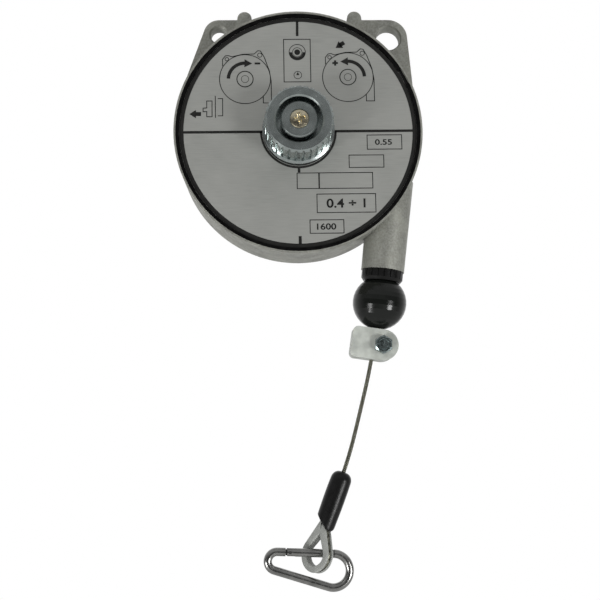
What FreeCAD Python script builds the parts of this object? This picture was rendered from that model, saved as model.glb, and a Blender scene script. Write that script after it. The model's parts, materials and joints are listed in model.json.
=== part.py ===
import FreeCAD, Part
import math
import os
import re

import Sketcher
from FreeCAD import Placement, Rotation, Vector

# Spring balancer for a light tool: a die-cast housing that hangs from its main eye, a rope drum
# driven by a spiral power spring, a pull-out load knob, and a wire rope with its hook.
#
# Frame: +Z up, +X to the right and -Y towards the reader of the label.  The origin is the centre
# of the main suspension eye.  The turned pieces are drawn in the drum's own frame: x to the
# right, y up and z out of the label, with z = 0 on the label's face.

SIZES = [
    # Where the drum's axis, the label's face and the rope's plane lie
    ("rope_plane", 16.0, "rope's plane, behind the label's face"),
    # Die-cast housing
    ("shell_radius", 61.0, "outside radius at the front rim"),
    ("shell_draft", 0.6, "radius lost from the rim to the back"),
    ("shell_back", 33.0, "back face, behind the label's face"),
    ("rim_front", 1.5, "rim's front face, ahead of the label's face"),
    ("rim_wall", 0.9, "wall of the rim round the cover"),
    ("side_wall", 2.9, "wall round the drum"),
    ("back_wall", 2.6, "wall behind the drum"),
    ("back_round", 2.5, "rounding of the back edge"),
    ("hub_radius", 12.0, "bearing hub on the back"),
    ("hub_out", 1.8, "bearing hub, behind the back face"),
    # Lugs and bosses
    ("lug_thick", 8.4, "thickness of both lugs"),
    ("eye_out", 9.315, "main eye's centre, outside the shell"),
    ("eye_angle", 48.055, "main eye's direction from the drum's axis, degrees from +X"),
    ("eye_radius", 6.1, "bore of the main eye"),
    ("eye_wall", 3.7, "metal round the main eye"),
    ("safety_out", 6.215, "safety eye's centre, outside the shell"),
    ("safety_angle", 125.68, "safety eye's direction from the drum's axis, degrees from +X"),
    ("safety_radius", 4.2, "bore of the safety eye"),
    ("safety_wall", 3.6, "metal round the safety eye"),
    ("eye_chamfer", 0.8, "chamfer at the mouths of both eyes"),
    ("boss_radius", 3.6, "bosses on the top edge"),
    ("boss_below", 0.7, "bosses' centres, below the shell's top"),
    ("boss_left", 26.0, "left boss, left of the drum's axis"),
    ("boss_right", 29.3, "right boss, right of the drum's axis"),
    ("boss_long", 21.0, "length of the bosses"),
    ("boss_flank", 2.0, "how far a boss's flank widens at its foot"),
    # Rope nozzle
    ("nozzle_lean", 7.0, "nozzle's lean from the vertical, degrees"),
    ("nozzle_top_radius", 11.1, "outside radius where it leaves the shell"),
    ("nozzle_end_radius", 10.7, "outside radius at its end"),
    ("nozzle_reach", 62.1, "end of the nozzle, from the rope's tangent point"),
    ("nozzle_bore", 7.6, "bore of the nozzle"),
    ("socket_wall", 1.5, "wall of the nozzle round the rope guide"),
    ("socket_deep", 8.0, "depth of that socket"),
    # Cover, label and retaining ring
    ("cover_thick", 2.4, "thickness of the cover"),
    ("label_thick", 0.3, "thickness of the label plate"),
    ("label_clear", 0.9, "label's hole, clear of the ratchet"),
    ("label_gap", 0.1, "label's edge, inside the retaining ring"),
    ("ring_show", 1.7, "width of the retaining ring inside the rim"),
    ("ring_bite", 0.4, "depth of the retaining ring's groove in the rim"),
    ("ring_thick", 1.2, "thickness of the retaining ring"),
    ("ring_gap_from", 23.5, "start of the ring's gap, degrees from +X"),
    ("ring_gap_to", 31.5, "end of the ring's gap, degrees from +X"),
    # Spindle, bushes and ratchet
    ("spindle_radius", 5.0, "spindle in its bushes"),
    ("bush_wall", 2.0, "wall of every bush"),
    ("bush_flange", 1.5, "how far a bush's flange stands out"),
    ("running_fit", 0.05, "radial clearance of a shaft in its bush"),
    ("spindle_tail", 4.2, "spindle's end, behind the back face"),
    ("circlip_thick", 1.0, "thickness of the spindle's circlip"),
    ("circlip_radius", 8.0, "outside radius of the circlip"),
    ("circlip_deep", 0.8, "depth of the circlip's groove"),
    ("square_size", 7.0, "spindle's square, across its flats"),
    ("square_fit", 0.08, "clearance of the knob on the square, each side"),
    ("ratchet_teeth", 24, "teeth of the ratchet"),
    ("ratchet_radius", 14.3, "outside radius of the ratchet"),
    ("ratchet_inner", 9.6, "inside radius of the ratchet's teeth"),
    ("ratchet_base", 2.4, "foot of the ratchet's teeth, above the label"),
    ("tooth_high", 1.3, "height of a ratchet tooth"),
    ("tooth_gap", 0.12, "clearance between the two sets of teeth"),
    ("tooth_shift", 0.4, "how far the knob's teeth stand off the ring's, degrees"),
    ("tooth_foot", 0.4, "how deep a tooth is rooted in its ring"),
    # Knob
    ("knob_top", 19.8, "knob's front face, ahead of the label"),
    ("knob_radius", 16.4, "radius over the knob's knurl"),
    ("knob_flange", 17.6, "radius of the smooth flange"),
    ("flange_high", 3.4, "thickness of the smooth flange"),
    ("knob_gap", 0.4, "flange's height above the label"),
    ("knob_chamfer", 1.1, "chamfer of the knob's front edge"),
    ("knob_recess", 11.1, "recess for the spring and the disc"),
    ("recess_edge", 0.7, "chamfer round the recess"),
    ("knob_web", 4.6, "thickness of the web that slides on the square"),
    ("knurl_ribs", 30, "ribs round the knob"),
    ("knurl_deep", 0.7, "depth of the knurl"),
    ("knurl_floor", 0.7, "width of a knurl groove at its floor"),
    ("pull_out", 4.5, "how far the knob pulls out"),
    ("disc_radius", 9.05, "retaining disc"),
    ("disc_thick", 2.3, "thickness of the retaining disc"),
    ("disc_edge", 0.7, "bevel of the retaining disc"),
    ("disc_sink", 0.7, "seat of the screw's head in the disc"),
    ("disc_below", 0.4, "disc's face, behind the knob's face"),
    ("screw_head", 4.5, "radius of the screw's head"),
    ("screw_head_high", 1.7, "height of the screw's head"),
    ("screw_radius", 2.5, "radius of the screw's shank"),
    ("screw_long", 12.0, "length of the screw's shank"),
    ("knob_spring_radius", 7.6, "knob spring, to the middle of its wire"),
    ("knob_spring_wire", 0.4, "radius of the knob spring's wire"),
    ("knob_spring_turns", 3.5, "coils of the knob spring"),
    # Rope drum, power spring and rope
    ("rope_radius", 1.0, "wire rope"),
    ("rope_turns", 6, "grooves in the drum"),
    ("rope_pitch", 2.9, "distance between the grooves"),
    ("groove_deep", 0.35, "depth of a groove in the drum"),
    ("run_gap", 0.15, "rope's taut run, short of the drum and of the ball"),
    ("drum_clear", 5.1, "drum's flanges, clear of the housing's wall"),
    ("flange_lip", 3.8, "drum's flanges, above the rope's middle"),
    ("drum_flange", 1.5, "thickness of the drum's flanges"),
    ("drum_wall", 4.2, "drum's wall, between the rope and the power spring"),
    ("drum_web", 2.0, "drum's back web"),
    ("lid_thick", 1.6, "thickness of the drum's lid"),
    ("lid_seat", 1.5, "width of the lid's seat"),
    ("arbor_radius", 8.6, "spring arbor"),
    ("spring_strip", 0.4, "thickness of the power spring's strip"),
    ("spring_turns", 9, "coils of the power spring"),
    ("spring_tongue", 2.0, "bent end of the power spring, in the arbor's slot"),
    ("part_gap", 0.3, "free gap between a moving piece and its neighbour"),
    # Rope guide and ball buffer
    ("collar_step", 0.45, "rope guide, smaller than the nozzle"),
    ("collar_high", 5.4, "rope guide, below the nozzle"),
    ("collar_bore", 3.0, "rope hole of the rope guide"),
    ("collar_ribs", 20, "splines round the rope guide"),
    ("ball_radius", 13.3, "ball buffer"),
    ("ball_nest", 10.6, "ball's centre, below the rope guide"),
    ("ball_bore", 1.7, "rope hole through the ball"),
    ("ball_seat", 0.25, "gap between the ball and the rope guide"),
    # Rope clamp
    ("clamp_lean", 9.0, "clamp's lean, degrees"),
    ("clamp_long", 23.0, "length of the clamp"),
    ("clamp_high", 15.2, "height of the clamp"),
    ("clamp_thick", 12.0, "thickness of the clamp"),
    ("clamp_corner", 2.6, "rounding of its square end"),
    ("clamp_bore", 1.3, "rope hole through the clamp"),
    ("clamp_slit", 0.8, "slit that the bolt closes"),
    ("bolt_offset", 4.2, "bolt's axis, from the rope's"),
    ("bolt_radius", 2.5, "shank of the clamp's bolt"),
    ("bolt_fit", 0.1, "radial clearance of the bolt in the clamp"),
    ("hex_size", 8.0, "bolt's head and nut, across flats"),
    ("head_high", 3.5, "height of the bolt's head"),
    ("nut_high", 4.0, "height of the nut"),
    # Rope end: ferrule, sleeve, thimble
    ("sleeve_lean", 21.5, "sleeve's lean, degrees"),
    ("sleeve_radius", 5.15, "outside radius of the sleeve"),
    ("sleeve_wall", 0.7, "wall of the sleeve"),
    ("sleeve_long", 30.4, "length of the sleeve"),
    ("sleeve_top", 3.0, "thickness of the sleeve's closed top"),
    ("sleeve_dome", 3.4, "rounding of the sleeve's top"),
    ("sleeve_step", 6.5, "how much shorter the sleeve is at its back"),
    ("ferrule_below", 4.0, "ferrule's top, below the sleeve's"),
    ("ferrule_long", 15.5, "length of the ferrule"),
    ("ferrule_gap", 0.1, "ferrule to the sleeve's inside"),
    ("thimble_lean", 15.0, "thimble's lean, degrees"),
    ("thimble_twist", 45.0, "thimble's turn about its own length, degrees"),
    ("thimble_inner", 5.2, "inside radius of the thimble's bow"),
    ("thimble_point", 11.9, "point of the thimble's eye, above its bow's centre"),
    ("thimble_floor", 0.9, "metal under the rope"),
    ("thimble_flange", 3.3, "height of the thimble's flanges over its inside"),
    ("thimble_wide", 4.2, "width of the thimble"),
    ("thimble_drop", 0.81, "bow's centre, below the hook's gate"),
    ("thimble_top", 12.0, "top of the thimble, above its bow's centre"),
    # Snap hook
    ("hook_slope", 3.4, "slope of the hook's gate, degrees"),
    ("hook_behind", 0.08, "hook's gate, behind the thimble's middle"),
    ("hook_yaw", 4.0, "turn of the hook about the vertical, degrees"),
    ("wire_radius", 2.0, "wire of the hook"),
    ("gate_radius", 2.0, "gate of the hook"),
    ("small_bow", 4.4, "hook's small bow, to the middle of its wire"),
    ("big_bow", 7.9, "hook's big bow, to the middle of its wire"),
    ("small_centre", 19.3, "small bow's centre, left of the thimble"),
    ("big_centre", 8.0, "big bow's centre, right of the thimble"),
    ("gate_left", 13.2, "gate's hinge, left of the thimble"),
    ("gate_tail", 1.8, "gate's end, beyond its hinge"),
    ("hook_gap", 0.45, "gate's ends to the round wire"),
    ("gate_right", 8.1, "gate's free end, right of the thimble"),
    ("tongue_thick", 1.6, "flat tongues at the hook's two ends"),
    ("tongue_long", 3.0, "length of the tongues"),
    ("tongue_fit", 0.1, "clearance of a tongue in its slot, each side"),
    ("rivet_radius", 0.7, "rivet of the gate"),
]

# Sizes that follow from those above.
FOLLOWING = {
    "rim_bore": "(shell_radius - rim_wall)",
    "ring_outer": "(rim_bore + ring_bite)",
    "ring_inner": "(rim_bore - ring_show)",
    "label_radius": "(ring_inner - label_gap)",
    "label_hole": "(ratchet_radius + label_clear)",
    "flange_radius": "(shell_radius - side_wall - drum_clear)",
    "rope_pitch_radius": "(flange_radius - flange_lip)",
    "drum_chamber": "(rope_pitch_radius - rope_radius - drum_wall)",
    "eye_rim": "(eye_radius + eye_wall)",
    "eye_across": "((shell_radius + eye_out) * cos(eye_angle * 1deg))",
    "eye_above": "((shell_radius + eye_out) * sin(eye_angle * 1deg))",
    "safety_rim": "(safety_radius + safety_wall)",
    "safety_across": "(-(shell_radius + safety_out) * cos(safety_angle * 1deg))",
    "safety_above": "((shell_radius + safety_out) * sin(safety_angle * 1deg))",
    "boss_above": "(shell_radius - boss_below)",
    "nozzle_socket": "(nozzle_end_radius - socket_wall)",
    "collar_radius": "(nozzle_end_radius - collar_step)",
    "ball_drop": "(nozzle_reach + collar_high + ball_nest)",
}

# The rope below the ball's centre (x, z), to the middle of the rope, in millimetres.  It leans
# further and further to the left until it enters the ferrule.
ROPE_ROUTE = [
    (1.60, 13.00),
    (-1.55, -9.00),
    (-5.30, -31.50),
    (-12.10, -57.60),
    (-16.90, -74.90),
    (-21.10, -86.10),
]
SLEEVE_FROM_BALL = (-19.65, -82.40)
HOOK_FROM_BALL = (-33.09, -120.43)

doc = FreeCAD.newDocument("tool_balancer")
sheet = doc.addObject("Spreadsheet::Sheet", "Sizes")
for row, (alias, amount, meaning) in enumerate(SIZES, start=1):
    sheet.set(f"A{row}", meaning)
    sheet.set(f"B{row}", str(amount))
    sheet.setAlias(f"B{row}", alias)
doc.recompute()

ALIASES = {alias for alias, _, _ in SIZES}
PARTS = []


def bound(text):
    """An expression in which each size is read from the sheet."""
    def written(word):
        if word[0] in FOLLOWING:
            return bound(FOLLOWING[word[0]])
        return f"Sizes.{word[0]}" if word[0] in ALIASES else word[0]
    return re.sub(r"[a-z_]+", written, text)


def size(text):
    """The number that a size, or an expression of sizes, comes to."""
    return float(sheet.evalExpression(bound(text)))


# ---------------------------------------------------------------- the frames the pieces are in
LEAN = math.radians(size("nozzle_lean"))
DRUM_AT = Vector(-size("eye_across"), -size("rope_plane"), -size("eye_above"))
DRUM_FRAME = Placement(DRUM_AT, Rotation(Vector(1, 0, 0), 90))

DOWN_NOZZLE = Vector(-math.sin(LEAN), 0, -math.cos(LEAN))
TANGENT_FROM_DRUM = Vector(math.cos(LEAN), 0, -math.sin(LEAN)) * size("rope_pitch_radius")
TANGENT_AT = Vector(DRUM_AT.x, 0, DRUM_AT.z) + TANGENT_FROM_DRUM
BALL_AT = TANGENT_AT + DOWN_NOZZLE * size("ball_drop")


def leaning(base, degrees):
    """A frame at base whose +Z leans to the right of the vertical by degrees."""
    return Placement(base, Rotation(Vector(0, 1, 0), degrees))


NOZZLE_FRAME = leaning(TANGENT_AT, size("nozzle_lean"))
BALL_FRAME = leaning(BALL_AT, size("nozzle_lean"))


# ---------------------------------------------------------------- sketches and features
def new_body(label, frame):
    """An empty body for one sub-part, placed in its frame."""
    body = doc.addObject("PartDesign::Body", label)
    body.Label = label
    body.Placement = frame
    PARTS.append(body)
    return body


def sketch_on(body, name, role, lift="0", offset=None):
    """An empty sketch on one of the body's own planes, lifted along its normal."""
    sketch = body.newObject("Sketcher::SketchObject", f"{body.Name}_{name}")
    plane = next(item for item in body.Origin.OriginFeatures if item.Role == role)
    sketch.AttachmentSupport = [(plane, "")]
    sketch.MapMode = "FlatFace"
    if offset is not None:
        sketch.AttachmentOffset = offset
    elif lift != "0":
        sketch.setExpression("AttachmentOffset.Base.z", bound(lift))
    return sketch


def pin_point(sketch, piece, end, across, along):
    """Hold one point of the sketch at two bound coordinates."""
    for kind, text in (("DistanceX", across), ("DistanceY", along)):
        index = sketch.addConstraint(Sketcher.Constraint(kind, -1, 1, piece, end, 1.0 + piece))
        sketch.setExpression(f"Constraints[{index}]", bound(text))


def add_polygon(sketch, corners):
    """A closed outline through corners, each a pair of expressions."""
    count = len(corners)
    first = sketch.GeometryCount
    ring = [Vector(math.cos(2 * math.pi * i / count), math.sin(2 * math.pi * i / count), 0) * 10
            for i in range(count)]
    for i in range(count):
        sketch.addGeometry(Part.LineSegment(ring[i], ring[(i + 1) % count]))
    for i in range(count):
        following = first + (i + 1) % count
        sketch.addConstraint(Sketcher.Constraint("Coincident", first + i, 2, following, 1))
    for i, (across, along) in enumerate(corners):
        pin_point(sketch, first + i, 1, across, along)


def add_circle(sketch, across, along, radius):
    """A circle with a bound centre and radius."""
    piece = sketch.addGeometry(Part.Circle(Vector(1, 1, 0), Vector(0, 0, 1), 1))
    pin_point(sketch, piece, 3, across, along)
    index = sketch.addConstraint(Sketcher.Constraint("Radius", piece, 1.0))
    sketch.setExpression(f"Constraints[{index}]", bound(radius))


def feature(body, kind, name, sketch):
    """A feature of the body that reads the sketch."""
    item = body.newObject(f"PartDesign::{kind}", f"{body.Name}_{name}")
    item.Profile = sketch
    sketch.Visibility = False
    return item


def spin(body, name, corners, kind="Revolution", offset=None, role="XZ_Plane"):
    """Turn an outline of (radius, height) corners about the sketch's upright axis."""
    sketch = sketch_on(body, f"{name}_outline", role, offset=offset)
    add_polygon(sketch, corners)
    item = feature(body, kind, name, sketch)
    item.ReferenceAxis = (sketch, ["V_Axis"])
    item.Angle = 360
    return item


def pad(body, name, draw, low, high, offset=None):
    """Fill what draw puts in a sketch, from height low to height high."""
    sketch = sketch_on(body, f"{name}_outline", "XY_Plane", low, offset)
    draw(sketch)
    item = feature(body, "Pad", name, sketch)
    item.setExpression("Length", bound(f"({high}) - ({low})"))
    return item


def pocket(body, name, draw, low, high, offset=None):
    """Cut what draw puts in a sketch, from height high down to height low."""
    sketch = sketch_on(body, f"{name}_outline", "XY_Plane", high, offset)
    draw(sketch)
    item = feature(body, "Pocket", name, sketch)
    item.setExpression("Length", bound(f"({high}) - ({low})"))
    return item


def around(body, item, count):
    """Repeat a feature round the body's +Z axis."""
    pattern = body.newObject("PartDesign::PolarPattern", f"{item.Name}_pattern")
    pattern.Originals = [item]
    axis = next(part for part in body.Origin.OriginFeatures if part.Role == "Z_Axis")
    pattern.Axis = (axis, [""])
    pattern.Angle = 360
    pattern.setExpression("Occurrences", bound(count))
    body.Tip = pattern
    return pattern


def dress(body, kind, name, chosen, amount):
    """Round or chamfer the edges of the body's last feature that chosen accepts."""
    doc.recompute()
    base = body.Tip
    edges = [f"Edge{i}" for i, edge in enumerate(base.Shape.Edges, start=1) if chosen(edge)]
    item = body.newObject(f"PartDesign::{kind}", f"{body.Name}_{name}")
    item.Base = (base, edges)
    item.setExpression("Radius" if kind == "Fillet" else "Size", bound(amount))
    body.Tip = item
    return item


def is_circle(edge, radius, height=None, centre=None):
    """True for a round edge of this radius, at this height or about this centre."""
    curve = edge.Curve
    if not isinstance(curve, Part.Circle) or abs(curve.Radius - radius) > 0.02:
        return False
    if height is not None and abs(curve.Center.z - height) > 0.02:
        return False
    return centre is None or math.hypot(curve.Center.x - centre[0], curve.Center.y - centre[1]) < 0.05


# ---------------------------------------------------------------- housing
BACK = "-shell_back"
INSIDE_BACK = "-shell_back + back_wall"
COVER_TOP = "-label_thick"
COVER_LOW = "-label_thick - cover_thick"
BUSH_RADIUS = "spindle_radius + running_fit + bush_wall"
LUG_LOW = "-rope_plane - lug_thick / 2"
LUG_HIGH = "-rope_plane + lug_thick / 2"

housing = new_body("housing", DRUM_FRAME)
spin(housing, "shell", [
    ("0", BACK),
    ("shell_radius - shell_draft", BACK),
    ("shell_radius", "rim_front"),
    ("0", "rim_front"),
])
dress(housing, "Fillet", "back_edge",
      lambda edge: is_circle(edge, size("shell_radius") - size("shell_draft"), -size("shell_back")),
      "back_round")


def draw_main_lug(sketch):
    add_polygon(sketch, [
        ("boss_right", "eye_above + eye_rim"),
        ("eye_across", "eye_above + eye_rim"),
        ("eye_across + eye_rim", "eye_above"),
        ("shell_radius - 0.5", "6"),
        ("boss_right", "6"),
    ])


def draw_safety_lug(sketch):
    add_polygon(sketch, [
        ("-boss_left", "safety_above + safety_rim"),
        ("-boss_left", "6"),
        ("-shell_radius + 0.5", "6"),
        ("-shell_radius + 4.6", "30"),
        ("-safety_across - safety_rim * cos(17deg)", "safety_above + safety_rim * sin(17deg)"),
        ("-safety_across", "safety_above + safety_rim"),
    ])


pad(housing, "main_lug", draw_main_lug, LUG_LOW, LUG_HIGH)
pad(housing, "main_rim", lambda s: add_circle(s, "eye_across", "eye_above", "eye_rim"), LUG_LOW, LUG_HIGH)
pad(housing, "safety_lug", draw_safety_lug, LUG_LOW, LUG_HIGH)
pad(housing, "safety_rim", lambda s: add_circle(s, "-safety_across", "safety_above", "safety_rim"),
    LUG_LOW, LUG_HIGH)

BOSS_LOW = "-rope_plane - boss_long / 2"
BOSS_HIGH = "-rope_plane + boss_long / 2"
for side, across in (("left", "-boss_left"), ("right", "boss_right")):
    pad(housing, f"{side}_boss", lambda s, a=across: add_circle(s, a, "boss_above", "boss_radius"),
        BOSS_LOW, BOSS_HIGH)
    pad(housing, f"{side}_boss_foot", lambda s, a=across: add_polygon(s, [
        (f"{a} - boss_radius", "boss_above"),
        (f"{a} - boss_radius - boss_flank", "boss_above - 12"),
        (f"{a} + boss_radius + boss_flank", "boss_above - 12"),
        (f"{a} + boss_radius", "boss_above"),
    ]), BOSS_LOW, BOSS_HIGH)

# The nozzle is turned about an axis that leans in the label's plane, so its sketches lie in that
# plane: their upright axis runs down the nozzle from the rope's tangent point.
NOZZLE_SKETCH = Placement(
    Vector(TANGENT_FROM_DRUM.x, TANGENT_FROM_DRUM.z, -size("rope_plane")),
    Rotation(Vector(0, 0, 1), 180 - size("nozzle_lean")))

spin(housing, "nozzle", [
    ("0", "16"),
    ("nozzle_top_radius", "16"),
    ("nozzle_end_radius", "nozzle_reach"),
    ("0", "nozzle_reach"),
], offset=NOZZLE_SKETCH, role="XY_Plane")
spin(housing, "back_hub", [
    ("0", f"{BACK} - hub_out"),
    ("hub_radius - 1", f"{BACK} - hub_out"),
    ("hub_radius", f"{BACK} - hub_out + 1"),
    ("hub_radius", f"{BACK} + 1"),
    ("0", f"{BACK} + 1"),
])
spin(housing, "cavity", [
    ("0", "rim_front"),
    ("rim_bore", "rim_front"),
    ("rim_bore", f"{COVER_TOP} + ring_thick"),
    ("ring_outer + running_fit", f"{COVER_TOP} + ring_thick"),
    ("ring_outer + running_fit", COVER_TOP),
    ("rim_bore", COVER_TOP),
    ("rim_bore", COVER_LOW),
    ("shell_radius - side_wall", COVER_LOW),
    ("shell_radius - side_wall", INSIDE_BACK),
    ("0", INSIDE_BACK),
], kind="Groove")
spin(housing, "nozzle_hole", [
    ("0", "10"),
    ("nozzle_bore", "10"),
    ("nozzle_bore", "nozzle_reach - socket_deep"),
    ("nozzle_socket", "nozzle_reach - socket_deep"),
    ("nozzle_socket", "nozzle_reach"),
    ("0", "nozzle_reach"),
], kind="Groove", offset=NOZZLE_SKETCH, role="XY_Plane")
pocket(housing, "spindle_hole", lambda s: add_circle(s, "0", "0", BUSH_RADIUS),
       f"{BACK} - hub_out", INSIDE_BACK)
pocket(housing, "main_eye", lambda s: add_circle(s, "eye_across", "eye_above", "eye_radius"),
       LUG_LOW, LUG_HIGH)
pocket(housing, "safety_eye", lambda s: add_circle(s, "-safety_across", "safety_above", "safety_radius"),
       LUG_LOW, LUG_HIGH)
EYES = (
    (size("eye_radius"), (size("eye_across"), size("eye_above"))),
    (size("safety_radius"), (-size("safety_across"), size("safety_above"))),
)
dress(housing, "Chamfer", "eye_mouths",
      lambda edge: any(is_circle(edge, radius, centre=centre) for radius, centre in EYES),
      "eye_chamfer")

# ---------------------------------------------------------------- bushes, cover, label, ring


def bush(label, seat, end, flange_inwards):
    """A flanged bush from its seat's face to its far end; the flange lies beyond the seat."""
    body = new_body(label, DRUM_FRAME)
    lip = f"({seat}) + bush_flange" if flange_inwards else f"({seat}) - bush_flange"
    spin(body, "turning", [
        ("spindle_radius + running_fit", end),
        (BUSH_RADIUS, end),
        (BUSH_RADIUS, seat),
        (f"{BUSH_RADIUS} + bush_flange", seat),
        (f"{BUSH_RADIUS} + bush_flange", lip),
        ("spindle_radius + running_fit", lip),
    ])
    return body


bush("rear_bush", INSIDE_BACK, f"{BACK} - hub_out", True)

front_cover = new_body("front_cover", DRUM_FRAME)
spin(front_cover, "plate", [
    (BUSH_RADIUS, COVER_TOP),
    (BUSH_RADIUS, COVER_LOW),
    ("rim_bore - running_fit", COVER_LOW),
    ("rim_bore - running_fit", COVER_TOP),
])
bush("front_bush", COVER_LOW, "ratchet_base", False)

label_plate = new_body("label_plate", DRUM_FRAME)
spin(label_plate, "sheet", [
    ("label_hole", COVER_TOP),
    ("label_radius", COVER_TOP),
    ("label_radius", "0"),
    ("label_hole", "0"),
])

retaining_ring = new_body("retaining_ring", DRUM_FRAME)
ring_sketch = sketch_on(retaining_ring, "section", "XZ_Plane", offset=Placement(
    Vector(0, 0, 0), Rotation(Vector(0, 1, 0), size("ring_gap_to"))))
add_polygon(ring_sketch, [
    ("ring_inner", COVER_TOP),
    ("ring_outer", COVER_TOP),
    ("ring_outer", f"{COVER_TOP} + ring_thick"),
    ("ring_inner", f"{COVER_TOP} + ring_thick"),
])
ring_turn = feature(retaining_ring, "Revolution", "turn", ring_sketch)
ring_turn.ReferenceAxis = (ring_sketch, ["V_Axis"])
ring_turn.setExpression("Angle", bound("360 - (ring_gap_to - ring_gap_from)"))

# ---------------------------------------------------------------- ratchet


def tooth_ring(body, corners, shift):
    """Face teeth: corners are (across, height) with "half" for half a pitch at that radius."""
    half_turn = "tan(180deg / ratchet_teeth)"
    turned = Placement(Vector(0, 0, 0), Rotation(Vector(0, 1, 0), shift))
    sections = []
    for end, radius in (("inner", "ratchet_inner"), ("outer", "ratchet_radius")):
        reach = Placement(Vector(0, 0, size(radius)), Rotation())
        sketch = sketch_on(body, f"tooth_{end}", "YZ_Plane", offset=turned * reach)
        half = f"({radius} * {half_turn})"
        add_polygon(sketch, [(across.replace("half", half), high) for across, high in corners])
        sections.append(sketch)
    item = feature(body, "AdditiveLoft", "tooth", sections[0])
    item.Sections = [sections[1]]
    item.Ruled = True
    around(body, item, "ratchet_teeth")


ratchet_ring = new_body("ratchet_ring", DRUM_FRAME)
spin(ratchet_ring, "base", [
    (f"{BUSH_RADIUS} + running_fit", COVER_TOP),
    ("ratchet_radius", COVER_TOP),
    ("ratchet_radius", "ratchet_base"),
    (f"{BUSH_RADIUS} + running_fit", "ratchet_base"),
])
tooth_ring(ratchet_ring, [
    ("-half", "ratchet_base - tooth_foot"),
    ("half", "ratchet_base - tooth_foot"),
    ("half", "ratchet_base + tooth_high"),
    ("-half", "ratchet_base"),
], 0)

# ---------------------------------------------------------------- spindle and knob
CAVITY_TOP = "ratchet_base + tooth_high + tooth_gap + part_gap"
WEB_TOP = f"{CAVITY_TOP} + knob_web"
DISC_TOP = "knob_top - disc_below"
DISC_LOW = f"{DISC_TOP} - disc_thick"
CLIP_HIGH = f"{BACK} - hub_out - part_gap"
CLIP_LOW = f"{CLIP_HIGH} - circlip_thick"
CLIP_BORE = "spindle_radius - circlip_deep"


def add_square(sketch, half):
    """A square round the origin."""
    add_polygon(sketch, [(f"-({half})", f"-({half})"), (half, f"-({half})"),
                         (half, half), (f"-({half})", half)])


spindle = new_body("spindle", DRUM_FRAME)
spin(spindle, "shaft", [
    ("0", f"{BACK} - spindle_tail"),
    ("spindle_radius - 0.6", f"{BACK} - spindle_tail"),
    ("spindle_radius", f"{BACK} - spindle_tail + 0.6"),
    ("spindle_radius", CLIP_LOW),
    (CLIP_BORE, CLIP_LOW),
    (CLIP_BORE, CLIP_HIGH),
    ("spindle_radius", CLIP_HIGH),
    ("spindle_radius", f"{CAVITY_TOP} - part_gap"),
    ("0", f"{CAVITY_TOP} - part_gap"),
])
pad(spindle, "square", lambda s: add_square(s, "square_size / 2"),
    f"{CAVITY_TOP} - part_gap", DISC_LOW)
pocket(spindle, "screw_hole", lambda s: add_circle(s, "0", "0", "screw_radius + running_fit"),
       f"{DISC_LOW} - screw_long - 1", DISC_LOW)

spindle_circlip = new_body("spindle_circlip", DRUM_FRAME)
pad(spindle_circlip, "plate", lambda s: add_circle(s, "0", "0", "circlip_radius"), CLIP_LOW, CLIP_HIGH)
pocket(spindle_circlip, "bore", lambda s: add_circle(s, "0", "0", f"{CLIP_BORE} + running_fit"),
       CLIP_LOW, CLIP_HIGH)
pocket(spindle_circlip, "mouth", lambda s: add_polygon(s, [
    ("-spindle_radius * 0.6", "0"), ("spindle_radius * 0.6", "0"),
    ("spindle_radius * 0.8", "-circlip_radius - 1"), ("-spindle_radius * 0.8", "-circlip_radius - 1"),
]), CLIP_LOW, CLIP_HIGH)

knob_disc = new_body("knob_disc", DRUM_FRAME)
spin(knob_disc, "turning", [
    ("screw_radius + running_fit", DISC_LOW),
    ("disc_radius", DISC_LOW),
    ("disc_radius", f"{DISC_TOP} - disc_edge"),
    ("disc_radius - disc_edge", DISC_TOP),
    ("screw_head + part_gap", DISC_TOP),
    ("screw_head + part_gap", f"{DISC_TOP} - disc_sink"),
    ("screw_radius + running_fit", f"{DISC_TOP} - disc_sink"),
])

disc_screw = new_body("disc_screw", DRUM_FRAME)
SCREW_SEAT = f"{DISC_TOP} - disc_sink"
spin(disc_screw, "turning", [
    ("0", f"{DISC_LOW} - screw_long"),
    ("screw_radius", f"{DISC_LOW} - screw_long"),
    ("screw_radius", SCREW_SEAT),
    ("screw_head", SCREW_SEAT),
    ("screw_head", f"{SCREW_SEAT} + screw_head_high * 0.5"),
    ("screw_head * 0.84", f"{SCREW_SEAT} + screw_head_high * 0.85"),
    ("screw_head * 0.5", f"{SCREW_SEAT} + screw_head_high"),
    ("0", f"{SCREW_SEAT} + screw_head_high"),
])
for name, across, along in (("wide", "screw_head / 2", "0.5"), ("tall", "0.5", "screw_head / 2")):
    pocket(disc_screw, f"slot_{name}", lambda s, a=across, b=along: add_polygon(s, [
        (f"-{a}", f"-{b}"), (a, f"-{b}"), (a, b), (f"-{a}", b)]),
        f"{SCREW_SEAT} + 0.3", f"{SCREW_SEAT} + screw_head_high")

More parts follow.
